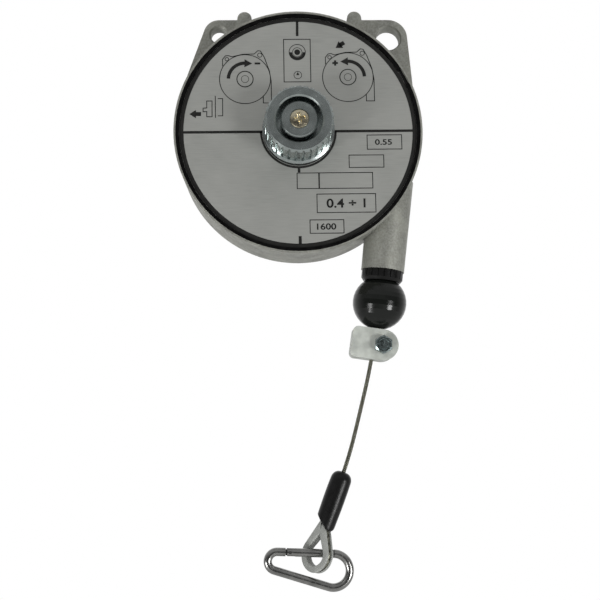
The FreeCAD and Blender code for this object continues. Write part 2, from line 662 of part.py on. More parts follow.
knob = new_body("knob", DRUM_FRAME)
spin(knob, "turning", [
    ("0", CAVITY_TOP),
    ("ratchet_radius + part_gap", CAVITY_TOP),
    ("ratchet_radius + part_gap", "knob_gap"),
    ("knob_flange", "knob_gap"),
    ("knob_flange", "knob_gap + flange_high"),
    ("knob_radius", "knob_gap + flange_high + 0.5"),
    ("knob_radius", "knob_top - knob_chamfer"),
    ("knob_radius - knob_chamfer", "knob_top"),
    ("knob_recess + recess_edge", "knob_top"),
    ("knob_recess", "knob_top - recess_edge"),
    ("knob_recess", WEB_TOP),
    ("0", WEB_TOP),
])
tooth_ring(knob, [
    ("-half", "ratchet_base + tooth_gap"),
    ("half", "ratchet_base + tooth_high + tooth_gap"),
    ("half", f"{CAVITY_TOP} + tooth_foot"),
    ("-half", f"{CAVITY_TOP} + tooth_foot"),
], size("tooth_shift"))
pocket(knob, "square_hole", lambda s: add_square(s, "square_size / 2 + square_fit"), CAVITY_TOP, WEB_TOP)
knurl = pocket(knob, "knurl", lambda s: add_polygon(s, [
    ("knob_radius - knurl_deep", "-knurl_floor / 2"), ("knob_radius + 1", "-knurl_floor * 1.5"),
    ("knob_radius + 1", "knurl_floor * 1.5"), ("knob_radius - knurl_deep", "knurl_floor / 2"),
]), "knob_gap + flange_high + 0.5", "knob_top")
around(knob, knurl, "knurl_ribs")

# ---------------------------------------------------------------- rope drum and power spring
DRUM_BACK = f"{INSIDE_BACK} + bush_flange + part_gap"
DRUM_FRONT = f"{COVER_LOW} - bush_flange - part_gap"
WEB_FRONT = f"{DRUM_BACK} + drum_web"
LID_BACK = f"{DRUM_FRONT} - lid_thick"
GROOVE_FLOOR = "rope_pitch_radius - rope_radius"
GROOVE_CREST = f"{GROOVE_FLOOR} + groove_deep"


def groove_middle(turn):
    """Height of the middle of one rope groove, counted from the front."""
    return f"-rope_plane + ((rope_turns - 1) / 2 - {turn}) * rope_pitch"


drum_outline = [
    (BUSH_RADIUS, DRUM_BACK),
    ("flange_radius", DRUM_BACK),
    ("flange_radius", f"{DRUM_BACK} + drum_flange"),
    (GROOVE_CREST, f"{DRUM_BACK} + drum_flange + 0.8"),
]
for turn in reversed(range(int(size("rope_turns")))):
    middle = groove_middle(turn)
    drum_outline += [
        (GROOVE_CREST, f"{middle} - 1.1"),
        (GROOVE_FLOOR, f"{middle} - 0.5"),
        (GROOVE_FLOOR, f"{middle} + 0.5"),
        (GROOVE_CREST, f"{middle} + 1.1"),
    ]
drum_outline += [
    (GROOVE_CREST, f"{DRUM_FRONT} - drum_flange - 0.8"),
    ("flange_radius", f"{DRUM_FRONT} - drum_flange"),
    ("flange_radius", DRUM_FRONT),
    ("drum_chamber + lid_seat", DRUM_FRONT),
    ("drum_chamber + lid_seat", LID_BACK),
    ("drum_chamber", LID_BACK),
    ("drum_chamber", WEB_FRONT),
    (BUSH_RADIUS, WEB_FRONT),
]
rope_drum = new_body("rope_drum", DRUM_FRAME)
spin(rope_drum, "turning", drum_outline)

drum_lid = new_body("drum_lid", DRUM_FRAME)
spin(drum_lid, "turning", [
    (BUSH_RADIUS, LID_BACK),
    ("drum_chamber + lid_seat - running_fit", LID_BACK),
    ("drum_chamber + lid_seat - running_fit", DRUM_FRONT),
    (BUSH_RADIUS, DRUM_FRONT),
])


def plain_bush(label, low, high):
    """A plain bush between two heights, turning on the spindle."""
    body = new_body(label, DRUM_FRAME)
    spin(body, "turning", [
        ("spindle_radius + running_fit", low),
        (BUSH_RADIUS, low),
        (BUSH_RADIUS, high),
        ("spindle_radius + running_fit", high),
    ])


plain_bush("drum_bush", DRUM_BACK, WEB_FRONT)
plain_bush("lid_bush", LID_BACK, DRUM_FRONT)

spring_arbor = new_body("spring_arbor", DRUM_FRAME)
spin(spring_arbor, "turning", [
    ("spindle_radius + running_fit", f"{WEB_FRONT} + part_gap"),
    ("arbor_radius", f"{WEB_FRONT} + part_gap"),
    ("arbor_radius", f"{LID_BACK} - part_gap"),
    ("spindle_radius + running_fit", f"{LID_BACK} - part_gap"),
])
pocket(spring_arbor, "hook_slot", lambda s: add_polygon(s, [
    ("spindle_radius + 1.2", "-0.5"), ("arbor_radius + 1", "-0.5"),
    ("arbor_radius + 1", "0.5"), ("spindle_radius + 1.2", "0.5"),
]), f"{WEB_FRONT} + part_gap", f"{LID_BACK} - part_gap")


SPRING_LOW = f"{WEB_FRONT} + part_gap"
SPRING_HIGH = f"{LID_BACK} - part_gap"


def solid_part(label, shape, frame):
    """A sub-part whose shape is made here, placed in its frame."""
    item = doc.addObject("Part::Feature", label)
    item.Label = label
    item.Shape = shape
    item.Placement = frame
    PARTS.append(item)
    return item


def half_circles(first, growth, count, side):
    """Half circles of a spiral, each growing by growth, moved out by side."""
    edges = []
    for i in range(count):
        sign = 1 if i % 2 == 0 else -1
        radius = first + (i + 0.5) * growth + side
        centre = Vector(-sign * growth / 2, 0, 0)
        reach = Vector(sign * radius, 0, 0)
        edges.append(Part.Arc(centre + reach, centre + Vector(0, sign * radius, 0), centre - reach).toShape())
    return edges


def spiral_spring(wide):
    """The power spring: a strip of this width, wound from the arbor out to the chamber's wall."""
    half = size("spring_strip") / 2
    first = size("arbor_radius") + size("part_gap") + half
    last = size("drum_chamber") - size("running_fit") - half
    count = 2 * int(size("spring_turns"))
    growth = (last - first) / count
    inner = half_circles(first, growth, count, -half)
    outer = half_circles(first, growth, count, half)
    caps = [Part.LineSegment(outer[0].firstVertex().Point, inner[0].firstVertex().Point).toShape(),
            Part.LineSegment(outer[-1].lastVertex().Point, inner[-1].lastVertex().Point).toShape()]
    coil = Part.Face(Part.Wire(Part.__sortEdges__(inner + outer + caps))).extrude(Vector(0, 0, wide))
    reach = size("spring_tongue") + size("part_gap")
    tongue = Part.makeBox(reach + half, 2 * half, wide, Vector(first - half - reach, 0, 0))
    return coil.fuse(tongue).removeSplitter()


solid_part("power_spring", spiral_spring(size(f"{SPRING_HIGH} - ({SPRING_LOW})")),
           DRUM_FRAME * Placement(Vector(0, 0, size(SPRING_LOW)), Rotation()))

rope_windings = new_body("rope_windings", DRUM_FRAME)
WINDING_INSIDE = f"{GROOVE_CREST} + running_fit"
winding_outline = []
for turn in reversed(range(int(size("rope_turns")))):
    middle = groove_middle(turn)
    winding_outline += [(f"rope_pitch_radius + rope_radius * {out}", f"{middle} + rope_radius * {along}")
                        for out, along in ((-0.3, -0.95), (0.3, -0.95), (0.95, -0.3), (0.95, 0.3),
                                           (0.3, 0.95), (-0.3, 0.95))]
LAST = int(size("rope_turns")) - 1
spin(rope_windings, "turning", [(WINDING_INSIDE, f"{groove_middle(LAST)} - rope_radius * 0.95")]
     + winding_outline + [(WINDING_INSIDE, f"{groove_middle(0)} + rope_radius * 0.95")])
# The first groove is bare past the point where the rope leaves it.
pocket(rope_windings, "bare_groove", lambda s: add_polygon(s, [
    ("0", "0"), ("70 * cos(nozzle_lean * 1deg)", "-70 * sin(nozzle_lean * 1deg)"), ("35", "-60"),
]), f"{groove_middle(0)} - rope_pitch * 2 / 3", f"{groove_middle(0)} + rope_pitch / 2")

# ---------------------------------------------------------------- rope, guide and ball buffer


def rounded_wire(points, radii):
    """A wire along the points, with each inner corner rounded to its radius."""
    edges = []
    here = points[0]
    for before, corner, after, radius in zip(points, points[1:], points[2:], radii):
        back = (before - corner).normalize()
        ahead = (after - corner).normalize()
        half = back.getAngle(ahead) / 2
        start = corner + back * (radius / math.tan(half))
        stop = corner + ahead * (radius / math.tan(half))
        middle = corner + (back + ahead).normalize() * (radius / math.sin(half) - radius)
        if start.distanceToPoint(here) > 0.01:
            edges.append(Part.LineSegment(here, start).toShape())
        edges.append(Part.Arc(start, middle, stop).toShape())
        here = stop
    if here.distanceToPoint(points[-1]) > 0.01:
        edges.append(Part.LineSegment(here, points[-1]).toShape())
    return Part.Wire(edges)


def swept(wire, radius):
    """A round bar of this radius along the wire."""
    first = wire.OrderedEdges[0]
    start = wire.OrderedVertexes[0].Point
    along = first.tangentAt(first.FirstParameter)
    section = Part.Wire(Part.Circle(start, along, radius).toShape())
    maker = Part.BRepOffsetAPI.MakePipeShell(wire)
    maker.add(section)
    maker.build()
    maker.makeSolid()
    bar = maker.shape()
    print(f"bar of {wire.Length:.2f} mm: volume off by "
          f"{bar.Volume / (math.pi * radius ** 2 * wire.Length) - 1:.4f}")
    return bar


def corner_radii(points):
    """A radius for each inner corner that leaves a short straight on both sides of it."""
    radii = []
    for before, corner, after in zip(points, points[1:], points[2:]):
        shorter = min(before.distanceToPoint(corner), after.distanceToPoint(corner))
        half_turn = (corner - before).getAngle(after - corner) / 2
        radii.append(0.45 * shorter / math.tan(half_turn))
    print("corner radii:", [round(radius, 1) for radius in radii])
    return radii


GROOVE_AHEAD = (size("rope_turns") - 1) / 2 * size("rope_pitch")
BALL_TOP = BALL_AT - DOWN_NOZZLE * size("ball_radius")
RUN_FROM = TANGENT_AT + Vector(0, -GROOVE_AHEAD, 0)
RUN_LONG = RUN_FROM.distanceToPoint(BALL_TOP)
RUN_DOWN = (BALL_TOP - RUN_FROM).normalize()
run = Part.makeCylinder(size("rope_radius"), RUN_LONG - 3 * size("run_gap"), RUN_DOWN * size("run_gap"),
                        RUN_DOWN)
solid_part("rope_run", run, Placement(RUN_FROM, Rotation()))

nozzle_collar = new_body("nozzle_collar", NOZZLE_FRAME)
spin(nozzle_collar, "turning", [
    ("collar_bore", "-nozzle_reach - collar_high"),
    ("collar_radius - 1", "-nozzle_reach - collar_high"),
    ("collar_radius", "-nozzle_reach - collar_high + 1.4"),
    ("collar_radius", "-nozzle_reach"),
    ("nozzle_socket - running_fit", "-nozzle_reach"),
    ("nozzle_socket - running_fit", "-nozzle_reach + socket_deep - part_gap"),
    ("collar_bore + 1", "-nozzle_reach + socket_deep - part_gap"),
    ("collar_bore", "-nozzle_reach + socket_deep - part_gap - 1"),
])
spline = pocket(nozzle_collar, "spline", lambda s: add_polygon(s, [
    ("collar_radius - 0.4", "0"), ("collar_radius + 1", "-1.4"), ("collar_radius + 1", "1.4"),
]), "-nozzle_reach - collar_high + 1.4", "-nozzle_reach")
around(nozzle_collar, spline, "collar_ribs")
seat = nozzle_collar.newObject("PartDesign::SubtractiveSphere", "nozzle_collar_seat")
seat.setExpression("Radius", bound("ball_radius + ball_seat"))
seat.setExpression("Placement.Base.z", bound("-ball_drop"))

ball_buffer = new_body("ball_buffer", BALL_FRAME)
BALL_STEPS = 18
spin(ball_buffer, "turning", [("0", "-ball_radius")] + [
    (f"ball_radius * sin({180 * i / BALL_STEPS}deg)", f"-ball_radius * cos({180 * i / BALL_STEPS}deg)")
    for i in range(1, BALL_STEPS)
] + [("0", "ball_radius")])
pocket(ball_buffer, "rope_hole", lambda s: add_circle(s, "0", "0", "ball_bore"),
       "-ball_radius", "ball_radius")


def from_ball(across, up, towards=0):
    """A point given from the ball's centre: to the right, up, and towards the reader."""
    return BALL_AT + Vector(across, -towards, up)


route = [from_ball(across, up) for across, up in ROPE_ROUTE]
solid_part("rope", swept(rounded_wire(route, corner_radii(route)), size("rope_radius")), Placement())

# ---------------------------------------------------------------- rope clamp
CLAMP_AT = from_ball(-3.55, -20.7)
CLAMP_FRAME = leaning(CLAMP_AT, size("clamp_lean")) * Placement(Vector(), Rotation(Vector(1, 0, 0), 90))
ROUND_END = "clamp_high / 2"
CLAMP_LEFT = "bolt_offset + clamp_high / 2 - clamp_long"
HALF_THICK = "clamp_thick / 2"

rope_clamp = new_body("rope_clamp", CLAMP_FRAME)
pad(rope_clamp, "block", lambda s: add_polygon(s, [
    (CLAMP_LEFT, f"-{ROUND_END}"), ("bolt_offset", f"-{ROUND_END}"),
    ("bolt_offset", ROUND_END), (CLAMP_LEFT, ROUND_END),
]), f"-{HALF_THICK}", HALF_THICK)
pad(rope_clamp, "round_end", lambda s: add_circle(s, "bolt_offset", "0", ROUND_END),
    f"-{HALF_THICK}", HALF_THICK)
LEFT_END = size("bolt_offset") + size("clamp_high") / 2 - size("clamp_long")
dress(rope_clamp, "Fillet", "corners", lambda edge: isinstance(edge.Curve, Part.Line)
      and all(abs(vertex.X - LEFT_END) < 0.01 for vertex in edge.Vertexes)
      and edge.Length > size("clamp_thick") - 0.1
      and abs(edge.Vertexes[0].Z - edge.Vertexes[1].Z) > 1, "clamp_corner")
pocket(rope_clamp, "slit", lambda s: add_polygon(s, [
    ("0", "-clamp_high"), ("clamp_long", "-clamp_high"),
    ("clamp_long", "clamp_high"), ("0", "clamp_high"),
]), "-clamp_slit / 2", "clamp_slit / 2")
spin(rope_clamp, "rope_bore", [
    ("0", "-clamp_high"),
    ("clamp_bore", "-clamp_high"),
    ("clamp_bore", "clamp_high"),
    ("0", "clamp_high"),
], kind="Groove", role="XY_Plane")
pocket(rope_clamp, "bolt_hole", lambda s: add_circle(s, "bolt_offset", "0", "bolt_radius + bolt_fit"),
       f"-{HALF_THICK}", HALF_THICK)


def add_hexagon(sketch, across, along, flats, turned):
    """A hexagon about (across, along), its first corner turned by degrees."""
    corners = []
    for i in range(6):
        angle = f"{turned + 60 * i}deg"
        corners.append((f"{across} + {flats} / 2 / cos(30deg) * cos({angle})",
                        f"{along} + {flats} / 2 / cos(30deg) * sin({angle})"))
    add_polygon(sketch, corners)


clamp_bolt = new_body("clamp_bolt", CLAMP_FRAME)
pad(clamp_bolt, "shank", lambda s: add_circle(s, "bolt_offset", "0", "bolt_radius"),
    f"-{HALF_THICK} - nut_high - 1.2", HALF_THICK)
pad(clamp_bolt, "head", lambda s: add_hexagon(s, "bolt_offset", "0", "hex_size", 15),
    HALF_THICK, f"{HALF_THICK} + head_high")
clamp_nut = new_body("clamp_nut", CLAMP_FRAME)
pad(clamp_nut, "hexagon", lambda s: add_hexagon(s, "bolt_offset", "0", "hex_size", 5),
    f"-{HALF_THICK} - nut_high", f"-{HALF_THICK}")
pocket(clamp_nut, "thread", lambda s: add_circle(s, "bolt_offset", "0", "bolt_radius + running_fit"),
       f"-{HALF_THICK} - nut_high", f"-{HALF_THICK}")

# ---------------------------------------------------------------- sleeve, ferrule, thimble
TWIST = Placement(Vector(), Rotation(Vector(0, 0, 1), -size("thimble_twist")))
SLEEVE_FRAME = leaning(from_ball(*SLEEVE_FROM_BALL), size("sleeve_lean")) * TWIST

sleeve = new_body("sleeve", SLEEVE_FRAME)
spin(sleeve, "turning", [
    ("clamp_bore", "0"),
    ("clamp_bore", "-sleeve_top"),
    ("sleeve_radius - sleeve_wall", "-sleeve_top"),
    ("sleeve_radius - sleeve_wall", "-sleeve_long"),
    ("sleeve_radius", "-sleeve_long"),
    ("sleeve_radius", "0"),
])
dress(sleeve, "Fillet", "dome", lambda edge: is_circle(edge, size("sleeve_radius"), 0), "sleeve_dome")
pocket(sleeve, "step", lambda s: add_polygon(s, [
    ("-sleeve_radius - 1", "-sleeve_radius - 1"), ("1", "-sleeve_radius - 1"),
    ("1", "sleeve_radius + 1"), ("-sleeve_radius - 1", "sleeve_radius + 1"),
]), "-sleeve_long - 1", "-sleeve_long + sleeve_step")

ferrule = new_body("ferrule", SLEEVE_FRAME)
FERRULE_TOP = "-ferrule_below"
FERRULE_LOW = "-ferrule_below - ferrule_long"
FERRULE_RADIUS = "sleeve_radius - sleeve_wall - ferrule_gap"
spin(ferrule, "turning", [
    ("0", FERRULE_LOW),
    (f"{FERRULE_RADIUS} - 0.8", FERRULE_LOW),
    (FERRULE_RADIUS, f"{FERRULE_LOW} + 1.2"),
    (FERRULE_RADIUS, f"{FERRULE_TOP} - 1.2"),
    (f"{FERRULE_RADIUS} - 0.8", FERRULE_TOP),
    ("0", FERRULE_TOP),
])

THIMBLE_LEAN = math.radians(size("thimble_lean"))
THIMBLE_UP = Vector(math.sin(THIMBLE_LEAN), 0, math.cos(THIMBLE_LEAN))
HOOK_AT = from_ball(*HOOK_FROM_BALL)
THIMBLE_FRAME = leaning(HOOK_AT - THIMBLE_UP * size("thimble_drop"), size("thimble_lean")) * TWIST
EYE_HALF = math.asin(size("thimble_inner") / size("thimble_point"))


def teardrop(radius):
    """The corners (across, up) of a teardrop that is tangent to a circle of this radius."""
    point = radius / math.sin(EYE_HALF)
    low = point + radius
    return point, low * math.tan(EYE_HALF)


ROPE_BOW = size("thimble_inner") + size("thimble_floor") + size("rope_radius")


def eye_wire():
    """The middle line of the rope round the thimble, from the ferrule and back to it."""
    leg = size("rope_radius") + size("running_fit")
    point, wide = teardrop(ROPE_BOW)
    meet = point - leg / math.tan(EYE_HALF)
    foot = SLEEVE_FRAME.multVec(Vector(0, 0, size(f"{FERRULE_LOW} - run_gap")))
    foot = THIMBLE_FRAME.inverse().multVec(foot)
    corners = [Vector(leg, 0, meet), Vector(wide, 0, -ROPE_BOW), Vector(-wide, 0, -ROPE_BOW),
               Vector(-leg, 0, meet)]
    ends = [foot + Vector(leg, 0, 0), foot + Vector(-leg, 0, 0)]
    return rounded_wire([ends[0]] + corners + [ends[1]], [3.0, ROPE_BOW, ROPE_BOW, 3.0])


def thimble_shape():
    """A grooved teardrop: half of it is swept up one leg, then mirrored."""
    inner = size("thimble_inner")
    outer = inner + size("thimble_flange")
    bed = size("rope_radius") + size("running_fit")
    side = size("thimble_wide") / 2
    outline = [Vector(0, bed, -ROPE_BOW), Vector(0, bed, -outer), Vector(0, side, -outer),
               Vector(0, side, -inner), Vector(0, -side, -inner), Vector(0, -side, -outer),
               Vector(0, -bed, -outer), Vector(0, -bed, -ROPE_BOW)]
    floor = Part.Arc(outline[-1], Vector(0, 0, bed - ROPE_BOW), outline[0]).toShape()
    section = Part.Wire(Part.makePolygon(outline).Edges + [floor])
    touch = Vector(ROPE_BOW * math.cos(EYE_HALF), 0, ROPE_BOW * math.sin(EYE_HALF))
    middle = Vector(math.sin(math.pi / 4), 0, -math.cos(math.pi / 4)) * ROPE_BOW
    leg_end = touch + Vector(-math.sin(EYE_HALF), 0, math.cos(EYE_HALF)) * size("thimble_top") * 1.5
    path = Part.Wire([Part.Arc(Vector(0, 0, -ROPE_BOW), middle, touch).toShape(),
                      Part.LineSegment(touch, leg_end).toShape()])
    maker = Part.BRepOffsetAPI.MakePipeShell(path)
    maker.add(section)
    maker.build()
    maker.makeSolid()
    beyond = Part.makeBox(40, 20, 60, Vector(-40, -10, -20))
    top = Part.makeBox(60, 20, 40, Vector(-30, -10, size("thimble_top")))
    # The flanges are trimmed where the sleeve goes over them.
    room = size("sleeve_radius") - size("sleeve_wall") - size("ferrule_gap")
    trim = Part.makeCylinder(12, 12).cut(Part.makeCylinder(room, 12))
    trim.Placement = (THIMBLE_FRAME.inverse() * SLEEVE_FRAME
                      * Placement(Vector(0, 0, -size("sleeve_long") - size("part_gap")), Rotation()))
    half = maker.shape().cut([beyond, top])
    whole = half.fuse(half.mirror(Vector(), Vector(1, 0, 0))).removeSplitter()
    return whole.cut(trim)


solid_part("rope_eye", swept(eye_wire(), size("rope_radius")), THIMBLE_FRAME)
solid_part("thimble", thimble_shape(), THIMBLE_FRAME)

# ---------------------------------------------------------------- snap hook
HOOK_FRAME = (Placement(HOOK_AT + Vector(0, size("hook_behind"), 0), Rotation(Vector(0, 0, 1), size("hook_yaw")))
              * Placement(Vector(), Rotation(Vector(0, 1, 0), size("hook_slope"))))
SMALL = size("small_bow")
BIG = size("big_bow")
SMALL_AT = Vector(-size("small_centre"), 0, -SMALL)
BIG_AT = Vector(size("big_centre"), 0, -BIG)
HINGE_END = -size("gate_left") - size("gate_tail") - size("hook_gap")
NOSE_END = size("gate_right") + size("hook_gap")


def hook_wire():
    """The hook's middle line: from the gate's hinge round the small bow, the spine and the big bow."""
    spread = BIG_AT - SMALL_AT
    slope = -math.atan2(spread.z, spread.x) + math.asin((BIG - SMALL) / spread.Length)
    below = Vector(-math.sin(slope), 0, -math.cos(slope))
    return Part.Wire([
        Part.LineSegment(Vector(HINGE_END, 0, 0), Vector(SMALL_AT.x, 0, 0)).toShape(),
        Part.Arc(Vector(SMALL_AT.x, 0, 0), SMALL_AT + Vector(-SMALL, 0, 0),
                 SMALL_AT + below * SMALL).toShape(),
        Part.LineSegment(SMALL_AT + below * SMALL, BIG_AT + below * BIG).toShape(),
        Part.Arc(BIG_AT + below * BIG, BIG_AT + Vector(BIG, 0, 0), Vector(BIG_AT.x, 0, 0)).toShape(),
        Part.LineSegment(Vector(BIG_AT.x, 0, 0), Vector(NOSE_END, 0, 0)).toShape(),
    ])


def tongue(low, high, below, above):
    """A flat tongue in the hook's plane, between two stations along the gate."""
    thick = size("tongue_thick")
    return Part.makeBox(high - low, thick, above + below, Vector(low, -thick / 2, -below))


def hook_shape():
    """The bent wire with a flat tongue at each end and the rivet's hole."""
    hinge_tip = -size("gate_left") + size("gate_tail")
    nose_tip = size("gate_right") - size("tongue_long")
    hook = swept(hook_wire(), size("wire_radius"))
    hook = hook.fuse([tongue(HINGE_END - 0.5, hinge_tip, 1.3, 1.3), tongue(nose_tip, NOSE_END + 0.5, 1.1, 1.3)])
    hole = Part.makeCylinder(size("rivet_radius"), 8, Vector(-size("gate_left"), -4, 0), Vector(0, 1, 0))
    return hook.cut(hole).removeSplitter()


solid_part("hook_body", hook_shape(), HOOK_FRAME)

# The gate's own frame: its origin is the hinge, x runs along the bar, y up and z to the reader.
GATE_FRAME = HOOK_FRAME * Placement(Vector(-size("gate_left"), 0, 0), Rotation(Vector(1, 0, 0), 90))
SLOT_HALF = "(tongue_thick / 2 + tongue_fit)"
BAR_END = "gate_left + gate_right"

gate_rivet = new_body("gate_rivet", GATE_FRAME)
pad(gate_rivet, "pin", lambda s: add_circle(s, "0", "0", "rivet_radius"),
    "-gate_radius - part_gap", "gate_radius + part_gap")

hook_gate = new_body("hook_gate", GATE_FRAME)
along_bar = Placement(Vector(0, 0, 0), Rotation(Vector(0, 0, 1), -90))
spin(hook_gate, "bar", [
    ("0", "-gate_tail"),
    ("gate_radius - 0.4", "-gate_tail"),
    ("gate_radius", "-gate_tail + 0.4"),
    ("gate_radius", f"{BAR_END} - 0.4"),
    ("gate_radius - 0.4", BAR_END),
    ("0", BAR_END),
], offset=along_bar, role="XY_Plane")
pocket(hook_gate, "hinge_slot", lambda s: add_polygon(s, [
    ("-gate_tail - 1", "-gate_radius - 1"), ("gate_tail + 2 * part_gap", "-gate_radius - 1"),
    ("gate_tail + 2 * part_gap", "gate_radius + 1"), ("-gate_tail - 1", "gate_radius + 1"),
]), f"-{SLOT_HALF}", SLOT_HALF)
pocket(hook_gate, "nose_slot", lambda s: add_polygon(s, [
    (f"{BAR_END} - tongue_long - 2 * part_gap", "-1.4"), (f"{BAR_END} + 1", "-1.4"),
    (f"{BAR_END} + 1", "gate_radius + 1"), (f"{BAR_END} - tongue_long - 2 * part_gap", "gate_radius + 1"),
]), f"-{SLOT_HALF}", SLOT_HALF)
pocket(hook_gate, "rivet_hole", lambda s: add_circle(s, "0", "0", "rivet_radius + running_fit"),
       "-gate_radius - 1", "gate_radius + 1")

# ---------------------------------------------------------------- knob spring
COIL_STEPS = 12


def knob_spring_shape():
    """A coil of short straight bars, each a twelfth of a turn, between the web and the disc."""
    wire = size("knob_spring_wire")
    rise = size(f"{DISC_LOW} - ({WEB_TOP})") - 2 * wire
    count = int(size("knob_spring_turns") * COIL_STEPS)
    points = []
    for i in range(count + 1):
        angle = 2 * math.pi * i / COIL_STEPS
        points.append(Vector(math.cos(angle), math.sin(angle), 0) * size("knob_spring_radius")
                      + Vector(0, 0, wire + rise * i / count))
    along = points[1] - points[0]
    corner = (along.cross(Vector(0, 0, 1))).normalize() * wire
    ring = [points[0] + Rotation(along, 45 + 90 * i).multVec(corner) for i in range(5)]
    maker = Part.BRepOffsetAPI.MakePipeShell(Part.makePolygon(points))
    maker.setTransitionMode(1)
    maker.add(Part.makePolygon(ring))
    maker.build()
    maker.makeSolid()
    return maker.shape()


solid_part("knob_spring", knob_spring_shape(),
           DRUM_FRAME * Placement(Vector(0, 0, size(WEB_TOP)), Rotation()))

# ---------------------------------------------------------------- checks and files
doc.recompute()
broken = [item.Label for item in doc.Objects if {"Invalid", "Error"} & set(item.State)]
if broken:
    raise RuntimeError(f"features that did not build: {broken}")
os.makedirs("parts", exist_ok=True)
for part in PARTS:
    shape = part.Shape
    if shape.isNull() or not shape.isValid() or len(shape.Solids) != 1:
        raise RuntimeError(f"{part.Label}: not one valid solid")
    shape.exportStep(f"parts/{part.Label}.step")
    print(f"{part.Label}: {shape.Volume / 1000:.3f} cm3")
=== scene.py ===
# %% [markdown]
# # A spring balancer in Blender
#
# A spring balancer hangs over a workbench and carries a hand tool on a wire
# rope, so that the tool seems to weigh almost nothing. This lesson dresses
# one that was built in CAD. Its solids have the right sizes and its joints
# are set, so here we give each piece its finish, print the label, lay the
# rope's strands, and set up a camera and soft light.
#
# We start from an empty file.

# %% Load the CAD frame
import json
import math

import bmesh
import bpy
from mathutils import Matrix, Vector

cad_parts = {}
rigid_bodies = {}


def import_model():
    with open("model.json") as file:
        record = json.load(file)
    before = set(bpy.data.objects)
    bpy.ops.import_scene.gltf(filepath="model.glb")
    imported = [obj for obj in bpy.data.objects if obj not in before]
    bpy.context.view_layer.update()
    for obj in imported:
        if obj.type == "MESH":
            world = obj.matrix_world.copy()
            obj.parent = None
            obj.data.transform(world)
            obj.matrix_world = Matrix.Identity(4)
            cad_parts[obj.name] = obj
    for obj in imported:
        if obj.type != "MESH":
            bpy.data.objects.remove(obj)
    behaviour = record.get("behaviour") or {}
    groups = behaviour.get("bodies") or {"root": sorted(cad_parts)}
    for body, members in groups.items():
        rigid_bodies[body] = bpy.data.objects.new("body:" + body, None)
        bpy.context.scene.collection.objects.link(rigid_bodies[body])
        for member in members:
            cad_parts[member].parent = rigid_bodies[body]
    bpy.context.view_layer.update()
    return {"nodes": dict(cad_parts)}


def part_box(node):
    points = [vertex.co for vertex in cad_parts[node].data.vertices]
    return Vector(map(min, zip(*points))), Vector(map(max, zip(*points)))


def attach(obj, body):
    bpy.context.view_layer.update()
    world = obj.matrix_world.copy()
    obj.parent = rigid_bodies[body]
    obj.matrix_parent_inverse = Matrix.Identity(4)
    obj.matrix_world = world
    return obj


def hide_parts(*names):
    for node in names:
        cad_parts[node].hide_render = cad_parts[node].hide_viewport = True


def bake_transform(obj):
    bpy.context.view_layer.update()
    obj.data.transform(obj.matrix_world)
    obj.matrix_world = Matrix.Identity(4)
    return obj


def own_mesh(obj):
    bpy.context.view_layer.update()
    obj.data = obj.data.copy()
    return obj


for leftover in list(bpy.data.objects):
    bpy.data.objects.remove(leftover)
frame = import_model()
nodes = frame["nodes"]
MM = 0.001

# %% [markdown]
# ## Where things are
#
# The drum turns about an axis that points straight at the viewer. The
# label's face is the best place to measure from, so most points below are
# given as millimetres to the right of that axis, in front of the label, and
# above the axis. One small function turns them into the frame's metres.

# %% Places measured from the label
LABEL_CENTRE = Vector((-47.0, -16.0, -52.3)) * MM


def from_label(across, ahead, above):
    """A point given in mm right of the drum's axis, ahead of the label and above the axis."""
    return LABEL_CENTRE + Vector((across, -ahead, above)) * MM


print("label centre in m:", [round(value, 4) for value in LABEL_CENTRE])

# %% [markdown]
# ## The camera
#
# The camera stands half a metre away, a little below the drum, and looks up
# by about eight degrees. We could point it with a constraint, but then its
# tilt would be hidden in a setting. Building its three directions by hand
# is plain geometry: one backwards to the camera, one to its right and one
# up. They become the columns of its matrix.

# %% Camera
AZIMUTH, ELEVATION, ROLL = (math.radians(angle) for angle in (-1.73, -7.83, -0.97))
CAMERA_BACK, CAMERA_RIGHT, CAMERA_UP = 0.4906, 0.0008, -0.0829
SENSOR = 36.0
FOCAL_IN_WIDTHS = 1000 / 600

back = Vector((math.sin(AZIMUTH) * math.cos(ELEVATION),
               -math.cos(AZIMUTH) * math.cos(ELEVATION),
               math.sin(ELEVATION)))
level = Vector((math.cos(AZIMUTH), math.sin(AZIMUTH), 0))
steep = back.cross(level)
right = math.cos(ROLL) * level + math.sin(ROLL) * steep
up = math.cos(ROLL) * steep - math.sin(ROLL) * level

camera_data = bpy.data.cameras.new("camera")
camera_data.sensor_width = SENSOR
camera_data.lens = SENSOR * FOCAL_IN_WIDTHS
camera_data.clip_start = 0.01
camera = bpy.data.objects.new("camera", camera_data)
bpy.context.scene.collection.objects.link(camera)
position = LABEL_CENTRE + CAMERA_BACK * back + CAMERA_RIGHT * right + CAMERA_UP * up
camera.matrix_world = (Matrix.Translation(position)
                       @ Matrix((right, up, back)).transposed().to_4x4())
bpy.context.scene.camera = camera
print("camera at", [round(value, 3) for value in position], "lens", round(camera_data.lens, 1))

# %% [markdown]
# ## The studio
#
# The surroundings are the largest lamp in any scene. Here the world is a
# plain white room, which the camera and the metal both see, but the light
# that it sends onto matt surfaces is held back, so that a grey renders as
# the grey it was given. Polished metal looks dull when everything round it
# is white. A real room is dark behind the camera, so the half of the room
# that lies in front of the label is dark in reflections, and only its
# ceiling is lighter.

# %% World
scene = bpy.context.scene
scene.view_settings.view_transform = "Standard"

world = bpy.data.worlds.new("white room")
world.use_nodes = True
scene.world = world
room = world.node_tree
room.nodes.clear()
ROOM_LIGHT, DARK_SIDE, WALL_LIGHT, CEILING_LIGHT = 0.50, 0.05, 0.95, 0.40
DARK_TO, WALL_FROM = -0.35, 0.95
EYE_LEVEL, CEILING_FROM = 0.0, 0.6

